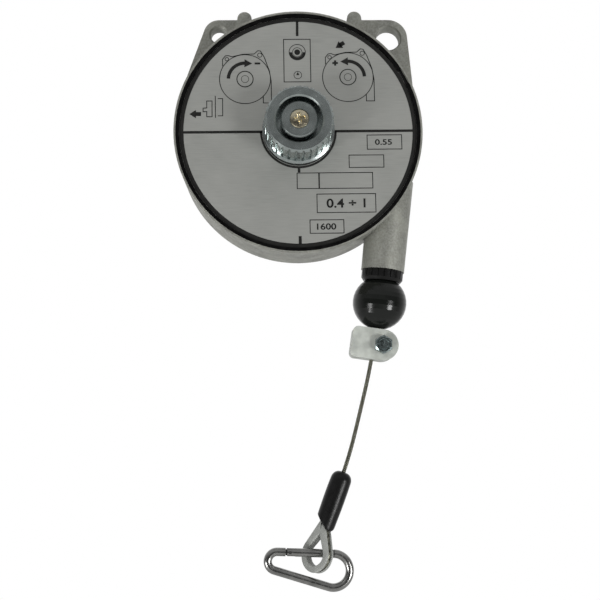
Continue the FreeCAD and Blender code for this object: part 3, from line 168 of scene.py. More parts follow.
rays = room.nodes.new("ShaderNodeLightPath")
direction = room.nodes.new("ShaderNodeTexCoord")
split = room.nodes.new("ShaderNodeSeparateXYZ")
room.links.new(direction.outputs["Generated"], split.inputs[0])


def fade(value, low, high, dim, bright):
    """A value node: dim at low, bright at high, and even steps between them."""
    spread = room.nodes.new("ShaderNodeMapRange")
    for name, number in (("From Min", low), ("From Max", high),
                         ("To Min", dim), ("To Max", bright)):
        spread.inputs[name].default_value = number
    room.links.new(value, spread.inputs["Value"])
    return spread.outputs["Result"]


mirrored_room = room.nodes.new("ShaderNodeMath")
mirrored_room.operation = "MAXIMUM"
room.links.new(fade(split.outputs["Y"], DARK_TO, WALL_FROM, DARK_SIDE, WALL_LIGHT),
               mirrored_room.inputs[0])
room.links.new(fade(split.outputs["Z"], EYE_LEVEL, CEILING_FROM, 0.0, CEILING_LIGHT),
               mirrored_room.inputs[1])


def choose(switch, when_off, when_on):
    """A value node that passes when_on where switch is 1, and when_off where it is 0."""
    pick = room.nodes.new("ShaderNodeMix")
    room.links.new(switch, pick.inputs["Factor"])
    for socket, value in ((pick.inputs["A"], when_off), (pick.inputs["B"], when_on)):
        if isinstance(value, float):
            socket.default_value = value
        else:
            room.links.new(value, socket)
    return pick.outputs["Result"]


light = choose(rays.outputs["Is Glossy Ray"], ROOM_LIGHT, mirrored_room.outputs["Value"])
light = choose(rays.outputs["Is Transmission Ray"], light, 1.0)
light = choose(rays.outputs["Is Camera Ray"], light, 1.0)
room_background = room.nodes.new("ShaderNodeBackground")
room_background.inputs["Color"].default_value = (1, 1, 1, 1)
room.links.new(light, room_background.inputs["Strength"])
room_output = room.nodes.new("ShaderNodeOutputWorld")
room.links.new(room_background.outputs[0], room_output.inputs["Surface"])
print("world: white room,", ROOM_LIGHT, "of its light on matt surfaces")

# %% [markdown]
# ## Lamps
#
# Three soft boxes give the shapes their form. One stands low on the left
# and one low on the right, both small enough to leave two bright spots on
# the rubber ball. A broad, weak one overhead fills the casting's top. An
# area lamp's brightness falls with the square of the distance, so each
# lamp's power is worked out from how bright a white card would look at the
# label.

# %% Lamps
LAMP_AIM = (0, 0, -60)


def soft_box(title, place, side, card, mirrored=True):
    """A square lamp at place (mm from the label). card: how bright it makes a white card."""
    lamp = bpy.data.lights.new(title, "AREA")
    lamp.size = side * MM
    target = from_label(*LAMP_AIM)
    stand = from_label(*place)
    lamp.energy = card * math.pi ** 2 * (stand - target).length_squared
    holder = bpy.data.objects.new(title, lamp)
    holder.location = stand
    holder.rotation_euler = (target - stand).to_track_quat("-Z", "Y").to_euler()
    holder.visible_glossy = mirrored
    scene.collection.objects.link(holder)
    print(title, round(lamp.energy, 2), "W")


soft_box("left_box", (-815, 684, -560), 360, 0.38)
soft_box("right_box", (790, 834, -425), 360, 0.44)
soft_box("overhead_box", (-150, 620, 1100), 700, 0.16, mirrored=False)

# %% [markdown]
# ## The floor
#
# The balancer hangs, and its rope pays out 1.6 m below it, so the floor of
# the room is well below that. It belongs to the stage and isn't part of the
# object. To the camera alone it glows a little, so that it looks as pale as
# the room and still shows a shadow.

# %% Floor
FLOOR_DEPTH, FLOOR_HALF, FLOOR_GLOW = -2.1, 5.0, 0.45
floor_mesh = bpy.data.meshes.new("floor")
floor_mesh.from_pydata([(x, y, FLOOR_DEPTH) for x, y in
                        ((-FLOOR_HALF, -FLOOR_HALF), (FLOOR_HALF, -FLOOR_HALF),
                         (FLOOR_HALF, FLOOR_HALF), (-FLOOR_HALF, FLOOR_HALF))],
                       [], [(0, 1, 2, 3)])
floor = bpy.data.objects.new("floor", floor_mesh)
scene.collection.objects.link(floor)
floor_finish = bpy.data.materials.new("pale floor")
floor_finish.use_nodes = True
floor_tree = floor_finish.node_tree
floor_shader = floor_tree.nodes["Principled BSDF"]
floor_shader.inputs["Base Color"].default_value = (0.86, 0.86, 0.85, 1)
floor_shader.inputs["Roughness"].default_value = 0.8
floor_shader.inputs["Emission Color"].default_value = (1, 1, 1, 1)
glow = floor_tree.nodes.new("ShaderNodeMath")
glow.operation = "MULTIPLY"
glow.inputs[1].default_value = FLOOR_GLOW
floor_rays = floor_tree.nodes.new("ShaderNodeLightPath")
floor_tree.links.new(floor_rays.outputs["Is Camera Ray"], glow.inputs[0])
floor_tree.links.new(glow.outputs["Value"], floor_shader.inputs["Emission Strength"])
floor_mesh.materials.append(floor_finish)
print("floor at", FLOOR_DEPTH, "m")

# %% [markdown]
# ## Building blocks for finishes
#
# Every finish below is a Principled shader with a few textures in front of
# it. Image textures would need files and unwrapped surfaces. Noise that is
# read at the surface's own position needs neither, and it is the right size
# wherever it lands, because one unit is one metre. One small class keeps
# each recipe readable. It makes the shader, and has a short word each for a
# noise of a given grain, a number spread over a range, a blend of two
# colours and a relief.

# %% Helpers for finishes


class Finish:
    """A material with its shader at hand and short words for what a finish needs."""

    def __init__(self, title, colour, roughness, metallic=0.0):
        self.material = bpy.data.materials.new(title)
        self.material.use_nodes = True
        self.tree = self.material.node_tree
        self.shader = self.tree.nodes["Principled BSDF"]
        self.here = self.tree.nodes.new("ShaderNodeTexCoord").outputs["Object"]
        self.set("Base Color", (*colour, 1))
        self.set("Roughness", roughness)
        self.set("Metallic", metallic)

    def set(self, socket, value):
        self.shader.inputs[socket].default_value = value

    def grain(self, millimetres, detail=2.0, stretch=(1, 1, 1)):
        """Noise whose spots are about this size, stretched along the axes if asked."""
        spread = self.tree.nodes.new("ShaderNodeMapping")
        spread.inputs["Scale"].default_value = stretch
        self.tree.links.new(self.here, spread.inputs["Vector"])
        noise = self.tree.nodes.new("ShaderNodeTexNoise")
        noise.inputs["Scale"].default_value = 1 / (millimetres * MM)
        noise.inputs["Detail"].default_value = detail
        self.tree.links.new(spread.outputs["Vector"], noise.inputs["Vector"])
        return noise.outputs["Fac"]

    def ramp(self, value, low, high, out_low=0.0, out_high=1.0):
        """The value between low and high, spread over out_low to out_high."""
        spread = self.tree.nodes.new("ShaderNodeMapRange")
        for name, number in (("From Min", low), ("From Max", high),
                             ("To Min", out_low), ("To Max", out_high)):
            spread.inputs[name].default_value = number
        self.tree.links.new(value, spread.inputs["Value"])
        return spread.outputs["Result"]

    def colours(self, value, first, second):
        """A colour that goes from first to second as value goes from 0 to 1."""
        mix = self.tree.nodes.new("ShaderNodeMix")
        mix.data_type = "RGBA"
        self.tree.links.new(value, mix.inputs[0])
        for socket, colour in ((mix.inputs[6], first), (mix.inputs[7], second)):
            if isinstance(colour, tuple):
                socket.default_value = (*colour, 1)
            else:
                self.tree.links.new(colour, socket)
        return mix.outputs[2]

    def feed(self, socket, value):
        self.tree.links.new(value, self.shader.inputs[socket])

    def relief(self, height, deep, strength=1.0):
        """Bumps of this depth in mm. A second call adds to the first."""
        bump = self.tree.nodes.new("ShaderNodeBump")
        bump.inputs["Distance"].default_value = deep * MM
        bump.inputs["Strength"].default_value = strength
        self.tree.links.new(height, bump.inputs["Height"])
        before = self.shader.inputs["Normal"].links
        if before:
            self.tree.links.new(before[0].from_socket, bump.inputs["Normal"])
        self.feed("Normal", bump.outputs["Normal"])


def dress(finish, *names):
    """Give these CAD pieces this finish."""
    for name in names:
        nodes[name].data.materials.clear()
        nodes[name].data.materials.append(finish.material)
    print(finish.material.name, "on", ", ".join(names))


# %% [markdown]
# ## The casting
#
# The housing is one die casting of aluminium, left as it came from the die:
# dull, faintly yellow, blotched where the metal chilled, and rough as fine
# sandpaper. Two noises make it. Broad blotches shift the colour and the
# gloss, and a fine one gives the bumps. A plain grey metal would look like
# painted plastic instead.

# %% Bare die-cast aluminium
cast = Finish("bare_casting", (0.30, 0.30, 0.26), 0.5, 0.55)
blotch = cast.ramp(cast.grain(9, 4), 0.35, 0.68)
fleck = cast.ramp(cast.grain(0.9, 3), 0.40, 0.72)
tone = cast.colours(blotch, (0.235, 0.236, 0.212), (0.335, 0.338, 0.298))
cast.feed("Base Color", cast.colours(
    cast.ramp(fleck, 0, 1, 0, 0.45), tone, (0.50, 0.51, 0.47)))
cast.feed("Roughness", cast.ramp(cast.grain(3.5, 3), 0.35, 0.7, 0.46, 0.66))
cast.relief(cast.grain(1.6, 3), 0.10, 0.7)
cast.relief(cast.grain(0.35, 2), 0.05, 0.6)
dress(cast, "housing")

# %% [markdown]
# ## The label
#
# The label is a thin aluminium sheet with a satin, silver-grey face. Rolled
# sheet has very fine lines along one direction. We get them by stretching a
# noise far along one axis, which costs nothing and stays sharp up close.

# %% Satin sheet
sheet_finish = Finish("satin_sheet", (0.33, 0.335, 0.315), 0.42, 0.45)
rolled = sheet_finish.grain(0.5, 2, (0.06, 1, 1))
cloud = sheet_finish.ramp(sheet_finish.grain(28, 2), 0.35, 0.65)
sheet_finish.feed("Base Color", sheet_finish.colours(
    sheet_finish.ramp(rolled, 0.3, 0.7, 0.0, 0.5),
    sheet_finish.colours(cloud, (0.335, 0.341, 0.322), (0.385, 0.390, 0.368)),
    (0.45, 0.455, 0.43)))
sheet_finish.feed("Roughness", sheet_finish.ramp(rolled, 0.3, 0.7, 0.36, 0.50))
sheet_finish.relief(rolled, 0.01, 0.3)
dress(sheet_finish, "label_plate")

# %% [markdown]
# ## Plated steel and turned metal
#
# The knob, its disc, the bolt and the thimble are zinc plated, the spindle
# and its screw are plain or yellow plated, and the snap hook has a dark
# nickel skin. What tells them apart is their colour, their gloss and how
# cloudy they are, so one recipe serves them all. The thimble's zinc is dull
# with use, and is made half a metal. The bolt's is the most uneven.

# %% Plated finishes


def plated(title, colour, gloss_low, gloss_high, cloud_size=4.0, wear=0.12, ripple=0.01):
    """A full metal with cloudy colour and gloss. wear is how far the colour drifts."""
    skin = Finish(title, colour, gloss_high, 1.0)
    cloudy = skin.ramp(skin.grain(cloud_size, 3), 0.35, 0.65)
    darker = tuple(channel * (1 - wear) for channel in colour)
    lighter = tuple(min(channel * (1 + wear), 1) for channel in colour)
    skin.feed("Base Color", skin.colours(cloudy, darker, lighter))
    skin.feed("Roughness", skin.ramp(skin.grain(cloud_size / 3, 2), 0.3, 0.7,
                                     gloss_low, gloss_high))
    skin.relief(skin.grain(cloud_size / 6, 2), ripple, 0.5)
    return skin


zinc = plated("bright_zinc", (0.48, 0.53, 0.52), 0.18, 0.28, 6.0, 0.14, 0.005)
bolt_zinc = plated("passivated_bolt", (0.30, 0.36, 0.36), 0.16, 0.34, 1.6, 0.50, 0.08)
yellow_zinc = plated("yellow_zinc", (0.75, 0.68, 0.50), 0.16, 0.28, 2.0)
turned = plated("turned_steel", (0.50, 0.50, 0.51), 0.24, 0.38)
blued = plated("oiled_spring", (0.16, 0.17, 0.19), 0.24, 0.42)
bearing = plated("sintered_bronze", (0.52, 0.36, 0.18), 0.38, 0.55, 1.5)
machined = plated("machined_alloy", (0.60, 0.61, 0.62), 0.26, 0.40)
dull_zinc = plated("dull_zinc", (0.37, 0.38, 0.36), 0.55, 0.70, 4.0, 0.08, 0.01)
dull_zinc.set("Metallic", 0.4)
nickel = plated("dark_nickel", (0.36, 0.36, 0.35), 0.17, 0.28, 5.0, 0.20, 0.006)
pressed = plated("pressed_ferrule", (0.55, 0.55, 0.55), 0.32, 0.50)

dress(zinc, "knob", "knob_disc", "ratchet_ring", "clamp_nut")
dress(turned, "spindle", "spring_arbor")
dress(blued, "power_spring", "spindle_circlip")
dress(bearing, "rear_bush", "front_bush", "drum_bush", "lid_bush")
dress(machined, "rope_drum", "drum_lid")
dress(nickel, "hook_body", "hook_gate", "gate_rivet")
dress(pressed, "ferrule")

# %% [markdown]
# ## Moulded pieces and the black ring
#
# The rope guide and the cover are black nylon with a faint spark-eroded
# grain from their mould. The ball is hard rubber, smoother and glossier. The
# sleeve was shrunk over its ferrule, so it is smooth with slow ripples. The
# clamp is undyed nylon, which lets some light in, and a little subsurface
# scattering softens its edges. The retaining ring is blackened spring steel.

# %% Moulded and black finishes


def moulded(title, colour, gloss_low, gloss_high, grain, deep):
    """A plastic or rubber with a moulded grain of this size and depth in mm."""
    skin = Finish(title, colour, gloss_high)
    cloudy = skin.ramp(skin.grain(5, 2), 0.35, 0.65)
    skin.feed("Base Color", skin.colours(cloudy, tuple(c * 0.85 for c in colour),
                                         tuple(min(c * 1.15, 1) for c in colour)))
    skin.feed("Roughness", skin.ramp(skin.grain(2.5, 2), 0.3, 0.7, gloss_low, gloss_high))
    skin.relief(skin.grain(grain, 2), deep, 0.5)
    skin.set("Specular IOR Level", 0.3)
    return skin


guide_nylon = moulded("guide_nylon", (0.006, 0.006, 0.006), 0.26, 0.38, 0.35, 0.02)
ball_rubber = moulded("ball_rubber", (0.006, 0.007, 0.006), 0.15, 0.19, 4.0, 0.001)
ball_rubber.set("Specular IOR Level", 0.42)
sleeve_rubber = moulded("sleeve_rubber", (0.006, 0.006, 0.006), 0.28, 0.36, 3.0, 0.05)
clamp_nylon = moulded("natural_nylon", (0.44, 0.46, 0.425), 0.42, 0.55, 0.6, 0.02)
clamp_nylon.set("Subsurface Weight", 0.12)
clamp_nylon.set("Subsurface Radius", (0.004, 0.004, 0.003))
clamp_nylon.set("Subsurface Scale", 0.5)
ring_black = plated("blackened_ring", (0.02, 0.02, 0.02), 0.32, 0.48, 3.0, 0.25)

dress(guide_nylon, "nozzle_collar", "front_cover")
dress(ball_rubber, "ball_buffer")
dress(clamp_nylon, "rope_clamp")
dress(ring_black, "retaining_ring")

# %% [markdown]
# ## Wire rope
#
# The rope is 2 mm thick and has six strands laid round a seventh. Close up,
# the strands matter, because they are what makes it a rope and not a rod.
# Each strand here is a tube of its own that winds round the rope's line
# like a thread on a screw. The finish adds the single wires as fine slanted
# ridges, with painted shade in the hollows between them, and oily patches.

# %% Rope finish


def rope_skin(title, lay_mm):
    """Oiled steel wires. Slanted bands of about lay_mm stand for the wires of a strand."""
    skin = Finish(title, (0.30, 0.30, 0.27), 0.38, 0.9)
    turn = skin.tree.nodes.new("ShaderNodeMapping")
    turn.inputs["Rotation"].default_value = (0, math.radians(28), 0)
    skin.tree.links.new(skin.here, turn.inputs["Vector"])
    bands = skin.tree.nodes.new("ShaderNodeTexWave")
    bands.bands_direction = "Z"
    bands.inputs["Scale"].default_value = 1 / (lay_mm * MM) / math.tau
    bands.inputs["Distortion"].default_value = 0.0
    skin.tree.links.new(turn.outputs["Vector"], bands.inputs["Vector"])
    oil = skin.ramp(skin.grain(1.2, 2), 0.35, 0.7)
    # The near-black colour in the troughs of the bands is painted shade in the hollows between
    # the wires.
    skin.feed("Base Color", skin.colours(
        skin.ramp(bands.outputs["Fac"], 0.0, 0.6), (0.05, 0.048, 0.036),
        skin.colours(oil, (0.20, 0.20, 0.155), (0.34, 0.34, 0.28))))
    skin.feed("Roughness", skin.ramp(oil, 0, 1, 0.30, 0.46))
    skin.relief(bands.outputs["Fac"], 0.10, 0.7)
    return skin


strand_finish = rope_skin("strand_wires", 0.40)
laid_finish = rope_skin("laid_rope", 1.60)
dress(laid_finish, "rope_windings", "rope_eye")

# %% [markdown]
# ## The free rope
#
# Below the clamp the rope is short and stiff. It keeps the slight bend that
# it got on the drum, and leans to the left until it enters the sleeve. A
# curve with six control points holds that line. We read points off it at
# even steps, find a steady sideways direction at each one, and wind the
# strands round them.

# %% The rope's line
ROPE_ROUTE_MM = [(-6.0847, 0, -122.8138), (-9.2347, 0, -144.8138), (-12.9847, 0, -167.3138),
                 (-19.7847, 0, -193.4138), (-24.5847, 0, -210.7138), (-28.7847, 0, -221.9138)]
ROPE_THICK = 2.0


def curve_points(title, route, steps):
    """Points along a smooth curve with this route, in metres."""
    line = bpy.data.curves.new(title, "CURVE")
    line.dimensions = "3D"
    spline = line.splines.new("NURBS")
    spline.points.add(len(route) - 1)
    for point, place in zip(spline.points, route):
        point.co = (*(Vector(place) * MM), 1)
    spline.order_u = 3
    spline.use_endpoint_u = True
    spline.resolution_u = steps
    holder = bpy.data.objects.new(title, line)
    points = [vertex.co.copy() for vertex in bpy.data.meshes.new_from_object(holder).vertices]
    bpy.data.objects.remove(holder)
    return points


rope_line = curve_points("rope_line", ROPE_ROUTE_MM, 60)
measured = sum((b - a).length for a, b in zip(rope_line, rope_line[1:]))
print(len(rope_line), "points,", round(measured / MM, 2), "mm of rope")

# %% [markdown]
# A direction that is turned as little as possible from one point to the
# next never flips over, which a direction taken from the curve's own bend
# would do where the bend changes sides. Each strand's ring of points is
# placed with it, and neighbouring rings are joined by quads.

# %% Strands round a line
STRANDS, STRAND_SIDES, ROPE_LAY = 6, 7, 13.0


def steady_frames(points):
    """For each point: the way along, and two directions across that don't twist."""
    frames = []
    side = None
    for i, point in enumerate(points):
        along = (points[min(i + 1, len(points) - 1)] - points[max(i - 1, 0)]).normalized()
        if side is None:
            side = along.cross(Vector((0, 1, 0)))
        side = (side - side.dot(along) * along).normalized()
        frames.append((along, side, along.cross(side)))
    return frames


def add_tube(mesh, rings):
    """Joins rings of points into a closed tube in this mesh."""
    made = [[mesh.verts.new(point) for point in ring] for ring in rings]
    sides = len(rings[0])
    for first, second in zip(made, made[1:]):
        for i in range(sides):
            mesh.faces.new((first[i], first[(i + 1) % sides],
                            second[(i + 1) % sides], second[i]))
    mesh.faces.new(list(reversed(made[0])))
    mesh.faces.new(made[-1])


def as_piece(title, mesh, finish, smooth=True):
    """Turns a built mesh into an object of the scene, with its finish."""
    bmesh.ops.recalc_face_normals(mesh, faces=mesh.faces)
    data = bpy.data.meshes.new(title)
    mesh.to_mesh(data)
    mesh.free()
    for face in data.polygons:
        face.use_smooth = smooth
    data.materials.append(finish.material)
    piece = bpy.data.objects.new(title, data)
    scene.collection.objects.link(piece)
    return piece


def laid_rope(title, points, thick, lay, finish):
    """Six strands wound round a seventh, each a third as thick. lay: mm for one turn."""
    strand = thick / 6 * MM
    mesh = bmesh.new()
    frames = steady_frames(points)
    gone = [0.0]
    for a, b in zip(points, points[1:]):
        gone.append(gone[-1] + (b - a).length)
    for number in range(STRANDS + 1):
        reach = 2 * strand if number else 0
        rings = []
        for point, (along, side, other), way in zip(points, frames, gone):
            turn = math.tau * (number / STRANDS + way / (lay * MM))
            middle = point + reach * (math.cos(turn) * side + math.sin(turn) * other)
            rings.append([middle + strand * (math.cos(a) * side + math.sin(a) * other)
                          for a in (math.tau * k / STRAND_SIDES
                                    for k in range(STRAND_SIDES))])
        add_tube(mesh, rings)
    return as_piece(title, mesh, finish)


# %% [markdown]
# ## The screw and the bolt
#
# Both heads are turned shapes whose outline isn't round: the bolt has six
# flats, and the screw has a cross sunk in it. A lathe profile alone can't
# make them. Instead, each direction round the axis gets a profile of its
# own, and the directions are chosen so that every corner of the cross or of
# the hexagon lies on one.

# %% Turned pieces with a shaped outline
CREASE = math.radians(28)


def turned_piece(title, profiles, place, finish):
    """A closed solid from (angle, [(radius, height), ...]) columns, put at place."""
    mesh = bmesh.new()
    columns = [[mesh.verts.new(place @ (Vector((radius * math.cos(angle),
                                                radius * math.sin(angle), height)) * MM))
                for radius, height in points] for angle, points in profiles]
    for k, column in enumerate(columns):
        beside = columns[(k + 1) % len(columns)]
        for i in range(len(column) - 1):
            mesh.faces.new((column[i], column[i + 1], beside[i + 1], beside[i]))
    bmesh.ops.remove_doubles(mesh, verts=mesh.verts, dist=1e-7)
    piece = as_piece(title, mesh, finish)
    piece.data.set_sharp_from_angle(angle=CREASE)
    return piece


def repeated(count, shares):
    """Angles round a full turn: each share of a sector, in each of count sectors."""
    return [math.tau * (k + share) / count for k in range(count) for share in shares]


# %% Cross-head screw
HEAD_RADIUS, HEAD_HIGH, SHANK_RADIUS, SHANK_LONG = 4.5, 1.7, 2.5, 12.0
CROSS_HALF, CROSS_REACH, CROSS_DEEP, CROSS_TIP, CROSS_EDGE = 0.78, 2.7, 1.2, 0.5, 0.14
DOME_DROP, RIM_DROP, RIM_ROUND, EDGE_ROUND = 0.75, 1.05, 0.25, 0.12
SCREW_TURN = math.radians(12)
screw_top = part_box("disc_screw")[0].y
arm_share = math.atan(CROSS_HALF / CROSS_REACH) / (math.pi / 2)


def screw_profile(angle):
    """From the middle of the cross, out over the dome, down the rim and the shank."""
    off = abs(math.remainder(angle, math.pi / 2))
    reach = min(CROSS_REACH / math.cos(off), CROSS_HALF / max(math.sin(off), 1e-9))
    cross = [(0, -CROSS_DEEP - CROSS_TIP), (reach * 0.45, -CROSS_DEEP),
             (reach * 0.9, -CROSS_DEEP * 0.55), (reach, -CROSS_EDGE)]
    dome = [(reach + EDGE_ROUND + (HEAD_RADIUS - RIM_ROUND - reach) * share,
             -DOME_DROP * ((reach + (HEAD_RADIUS - reach) * share) / HEAD_RADIUS) ** 2)
            for share in (0, 0.25, 0.5, 0.75, 0.92)]
    rim = [(HEAD_RADIUS, -RIM_DROP), (HEAD_RADIUS, -HEAD_HIGH)]
    shank = [(SHANK_RADIUS, -HEAD_HIGH), (SHANK_RADIUS, -HEAD_HIGH - SHANK_LONG),
             (0, -HEAD_HIGH - SHANK_LONG)]
    return cross + dome + rim + shank


screw_place = (Matrix.Translation((LABEL_CENTRE.x, screw_top, LABEL_CENTRE.z))
               @ Matrix.Rotation(math.pi / 2, 4, "X") @ Matrix.Rotation(SCREW_TURN, 4, "Z"))
screw_columns = [(angle, screw_profile(angle)) for angle in
                 repeated(4, (0, arm_share / 2, arm_share, 0.32, 0.42, 0.5, 0.58, 0.68,
                              1 - arm_share, 1 - arm_share / 2))]
screw = turned_piece("cross_head_screw", screw_columns, screw_place, yellow_zinc)
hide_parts("disc_screw")
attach(screw, "spindle")
print("screw:", len(screw.data.polygons), "faces")

# %% Clamp bolt
FLATS, BOLT_HEAD, BOLT_SHANK, CLAMP_HALF, BOLT_LONG = 8.0, 3.5, 2.5, 6.0, 17.2
TOP_CIRCLE, CHAMFER_SLOPE = 3.55, math.tan(math.radians(30))
DISH_DEEP, DISH_FLOOR, DISH_EDGE = 0.45, 2.4, 2.8
CLAMP_AT, CLAMP_LEAN = Vector((-11.2347, 0, -156.5138)) * MM, math.radians(9)
BOLT_OFFSET, CORNER_TURN = 4.2, math.radians(97)


def bolt_profile(angle):
    """From the dish in the head's top, over the chamfer, down the flats and the shank."""
    off = abs(math.remainder(angle, math.tau / 6))
    edge = FLATS / 2 / math.cos(math.tau / 12 - off)
    return [(0, BOLT_HEAD - DISH_DEEP), (DISH_FLOOR, BOLT_HEAD - DISH_DEEP),
            (DISH_EDGE, BOLT_HEAD), (TOP_CIRCLE, BOLT_HEAD),
            (edge, BOLT_HEAD - (edge - TOP_CIRCLE) * CHAMFER_SLOPE), (edge, 0),
            (BOLT_SHANK, 0), (BOLT_SHANK, -BOLT_LONG), (0, -BOLT_LONG)]


bolt_place = (Matrix.Translation(CLAMP_AT) @ Matrix.Rotation(CLAMP_LEAN, 4, "Y")
              @ Matrix.Rotation(math.pi / 2, 4, "X")
              @ Matrix.Translation(Vector((BOLT_OFFSET, 0, CLAMP_HALF)) * MM)
              @ Matrix.Rotation(CORNER_TURN, 4, "Z"))
bolt_columns = [(angle, bolt_profile(angle))
                for angle in repeated(6, (0, 0.17, 0.33, 0.5, 0.67, 0.83))]
clamp_bolt = turned_piece("hexagon_bolt", bolt_columns, bolt_place, bolt_zinc)
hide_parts("clamp_bolt")
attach(clamp_bolt, "rope_end")
print("bolt:", len(clamp_bolt.data.polygons), "faces")

# %% [markdown]
# ## The sleeve
#
# A soft black boot was shrunk over the ferrule where the rope's end is
# pressed. Its top is a dome, its sides bulge a little, and at the bottom it
# ends in a rounded tongue that lies over the front of the thimble. Rounding
# such an edge with a bevel leaves creases, so the boot is made as columns
# of points, one for each direction round its axis, that run down the
# outside, round the lip and back up inside. The tongue is simply where
# those columns are longer.

# %% Sleeve boot
SLEEVE_TOP = Vector((-27.3347, 0, -218.2138)) * MM
SLEEVE_LEAN, SLEEVE_TURN = math.radians(21.5), math.radians(-45)
BOOT_RADIUS, BOOT_WALL, BOOT_HOLE, BOOT_DOME, BOOT_CAP = 5.15, 0.75, 1.25, 4.4, 3.0
BOOT_SHORT, BOOT_LONG, TONGUE_TURN = 22.8, 28.6, math.radians(11)
BOOT_COLUMNS, BOOT_ROWS, DOME_ROWS, LIP_ROWS = 96, 22, 9, 6
BOOT_WAIST, BOOT_BULGE, DOME_SHAPE = 0.965, 0.045, (2.3, 2.1)
BOOT_INSIDE = BOOT_RADIUS - BOOT_WALL - 0.05
boot_frame = (Matrix.Translation(SLEEVE_TOP) @ Matrix.Rotation(SLEEVE_LEAN, 4, "Y")
              @ Matrix.Rotation(SLEEVE_TURN, 4, "Z"))


def boot_radius(depth, length):
    """The boot's outside: a dome, then a side that bulges by a few hundredths."""
    bulge = BOOT_WAIST + BOOT_BULGE * math.sin(math.pi * min(depth / length, 1))
    if depth >= BOOT_DOME:
        return BOOT_RADIUS * bulge
    share = 1 - depth / BOOT_DOME
    rounded = (1 - share ** DOME_SHAPE[0]) ** (1 / DOME_SHAPE[1])
    return BOOT_HOLE + (BOOT_RADIUS * bulge - BOOT_HOLE) * rounded


def boot_column(angle):
    """Radius and depth of the points down the outside, round the lip and up the inside."""
    share = (1 + math.cos(angle + TONGUE_TURN)) / 2
    length = BOOT_SHORT + (BOOT_LONG - BOOT_SHORT) * share ** 2
    lip = BOOT_WALL / 2
    points = [(boot_radius(depth, length), depth)
              for depth in (BOOT_DOME * (i / DOME_ROWS) ** 2 for i in range(DOME_ROWS))]
    for i in range(BOOT_ROWS + 1):
        depth = BOOT_DOME + (length - lip - BOOT_DOME) * i / BOOT_ROWS
        points.append((boot_radius(depth, length), depth))
    middle = points[-1][0] - lip
    points += [(middle + lip * math.cos(a), length - lip + lip * math.sin(a))
               for a in (math.pi * k / LIP_ROWS for k in range(1, LIP_ROWS))]
    points += [(middle - lip, length - lip), (BOOT_INSIDE, BOOT_CAP + 1),
               (BOOT_INSIDE, BOOT_CAP), (BOOT_HOLE, BOOT_CAP)]
    return points


boot_mesh = bmesh.new()
columns = []
for k in range(BOOT_COLUMNS):
    angle = math.tau * k / BOOT_COLUMNS
    columns.append([boot_mesh.verts.new(boot_frame @ (Vector(
        (radius * math.cos(angle), radius * math.sin(angle), -depth)) * MM))
        for radius, depth in boot_column(angle)])
for k, column in enumerate(columns):
    beside = columns[(k + 1) % BOOT_COLUMNS]
    for i in range(len(column)):
        j = (i + 1) % len(column)
        boot_mesh.faces.new((column[i], column[j], beside[j], beside[i]))
boot = as_piece("sleeve_boot", boot_mesh, sleeve_rubber)
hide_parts("sleeve")
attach(boot, "rope_end")
print("boot:", len(boot.data.polygons), "faces")

# %% [markdown]
# ## The thimble
#
# The rope's eye is lined by a thimble, a strip of steel pressed into a
# channel and bent to a teardrop. It is one cross-section carried round a
# path: down one leg, round the bow and up the other. The legs are straight,
# so each needs only its two ends. Their upper ends are cut where they meet
# in the middle or at the strip's own end, and the eye's upper corner is
# filled a little, as the pressed metal is there.

# %% Thimble
THIMBLE_CENTRE = Vector((-40.9812, 0, -257.0275)) * MM
THIMBLE_LEAN = math.radians(15)
thimble_frame = (Matrix.Translation(THIMBLE_CENTRE) @ Matrix.Rotation(THIMBLE_LEAN, 4, "Y")
                 @ Matrix.Rotation(SLEEVE_TURN, 4, "Z"))
EYE_RADIUS, EYE_POINT, STRIP_TOP, MEET_GAP, EYE_DROP = 5.2, 11.9, 17.0, 0.03, 2.4
BED_RADIUS, FLOOR_THICK, FLANGE_HIGH, HALF_WIDE = 1.05, 0.9, 3.3, 2.1
BASE_CORNER, BED_STEPS, TIP_STEPS, BOW_STEPS = 0.45, 10, 6, 40
FLANGE_CREASE = math.radians(40)
eye_half = math.asin(EYE_RADIUS / EYE_POINT)


def half_circle(middle, height, radius, steps, way=1):
    """Points over half a turn, from right to left. way -1 turns it upside down."""
    return [(middle + radius * math.cos(a), height + way * radius * math.sin(a))
            for a in (math.pi * k / steps for k in range(steps + 1))]


def channel_section():
    """Points round the strip's section: across its width, and out from the eye's inside."""
    bed = half_circle(0, FLOOR_THICK + BED_RADIUS, BED_RADIUS, BED_STEPS, -1)
    tip = (HALF_WIDE - BED_RADIUS) / 2
    left_tip, right_tip = [half_circle(middle, FLANGE_HIGH - tip, tip, TIP_STEPS)
                           for middle in (-BED_RADIUS - tip, BED_RADIUS + tip)]
    corner = BASE_CORNER
    base = [(sign * (HALF_WIDE - corner + corner * math.cos(a)),
             corner - corner * math.sin(a))
            for sign, order in ((-1, (0, 1, 2, 3)), (1, (3, 2, 1, 0)))
            for a in (math.pi / 6 * k for k in order)]
    return bed + left_tip + base + right_tip


def leg_end(across, out, side):
    """Where a line of the section, carried up a leg, stops: in the middle or at the top."""
    radius = EYE_RADIUS + out
    start = Vector((side * radius * math.cos(eye_half), across, radius * math.sin(eye_half)))
    way = Vector((-side * math.sin(eye_half), 0, math.cos(eye_half)))
    meet = radius / math.sin(eye_half) - EYE_DROP * max(0, 1 - out / FLOOR_THICK)
    if meet < STRIP_TOP:
        return Vector((side * MEET_GAP, across, meet))
    return start + way * (STRIP_TOP - start.z) / way.z


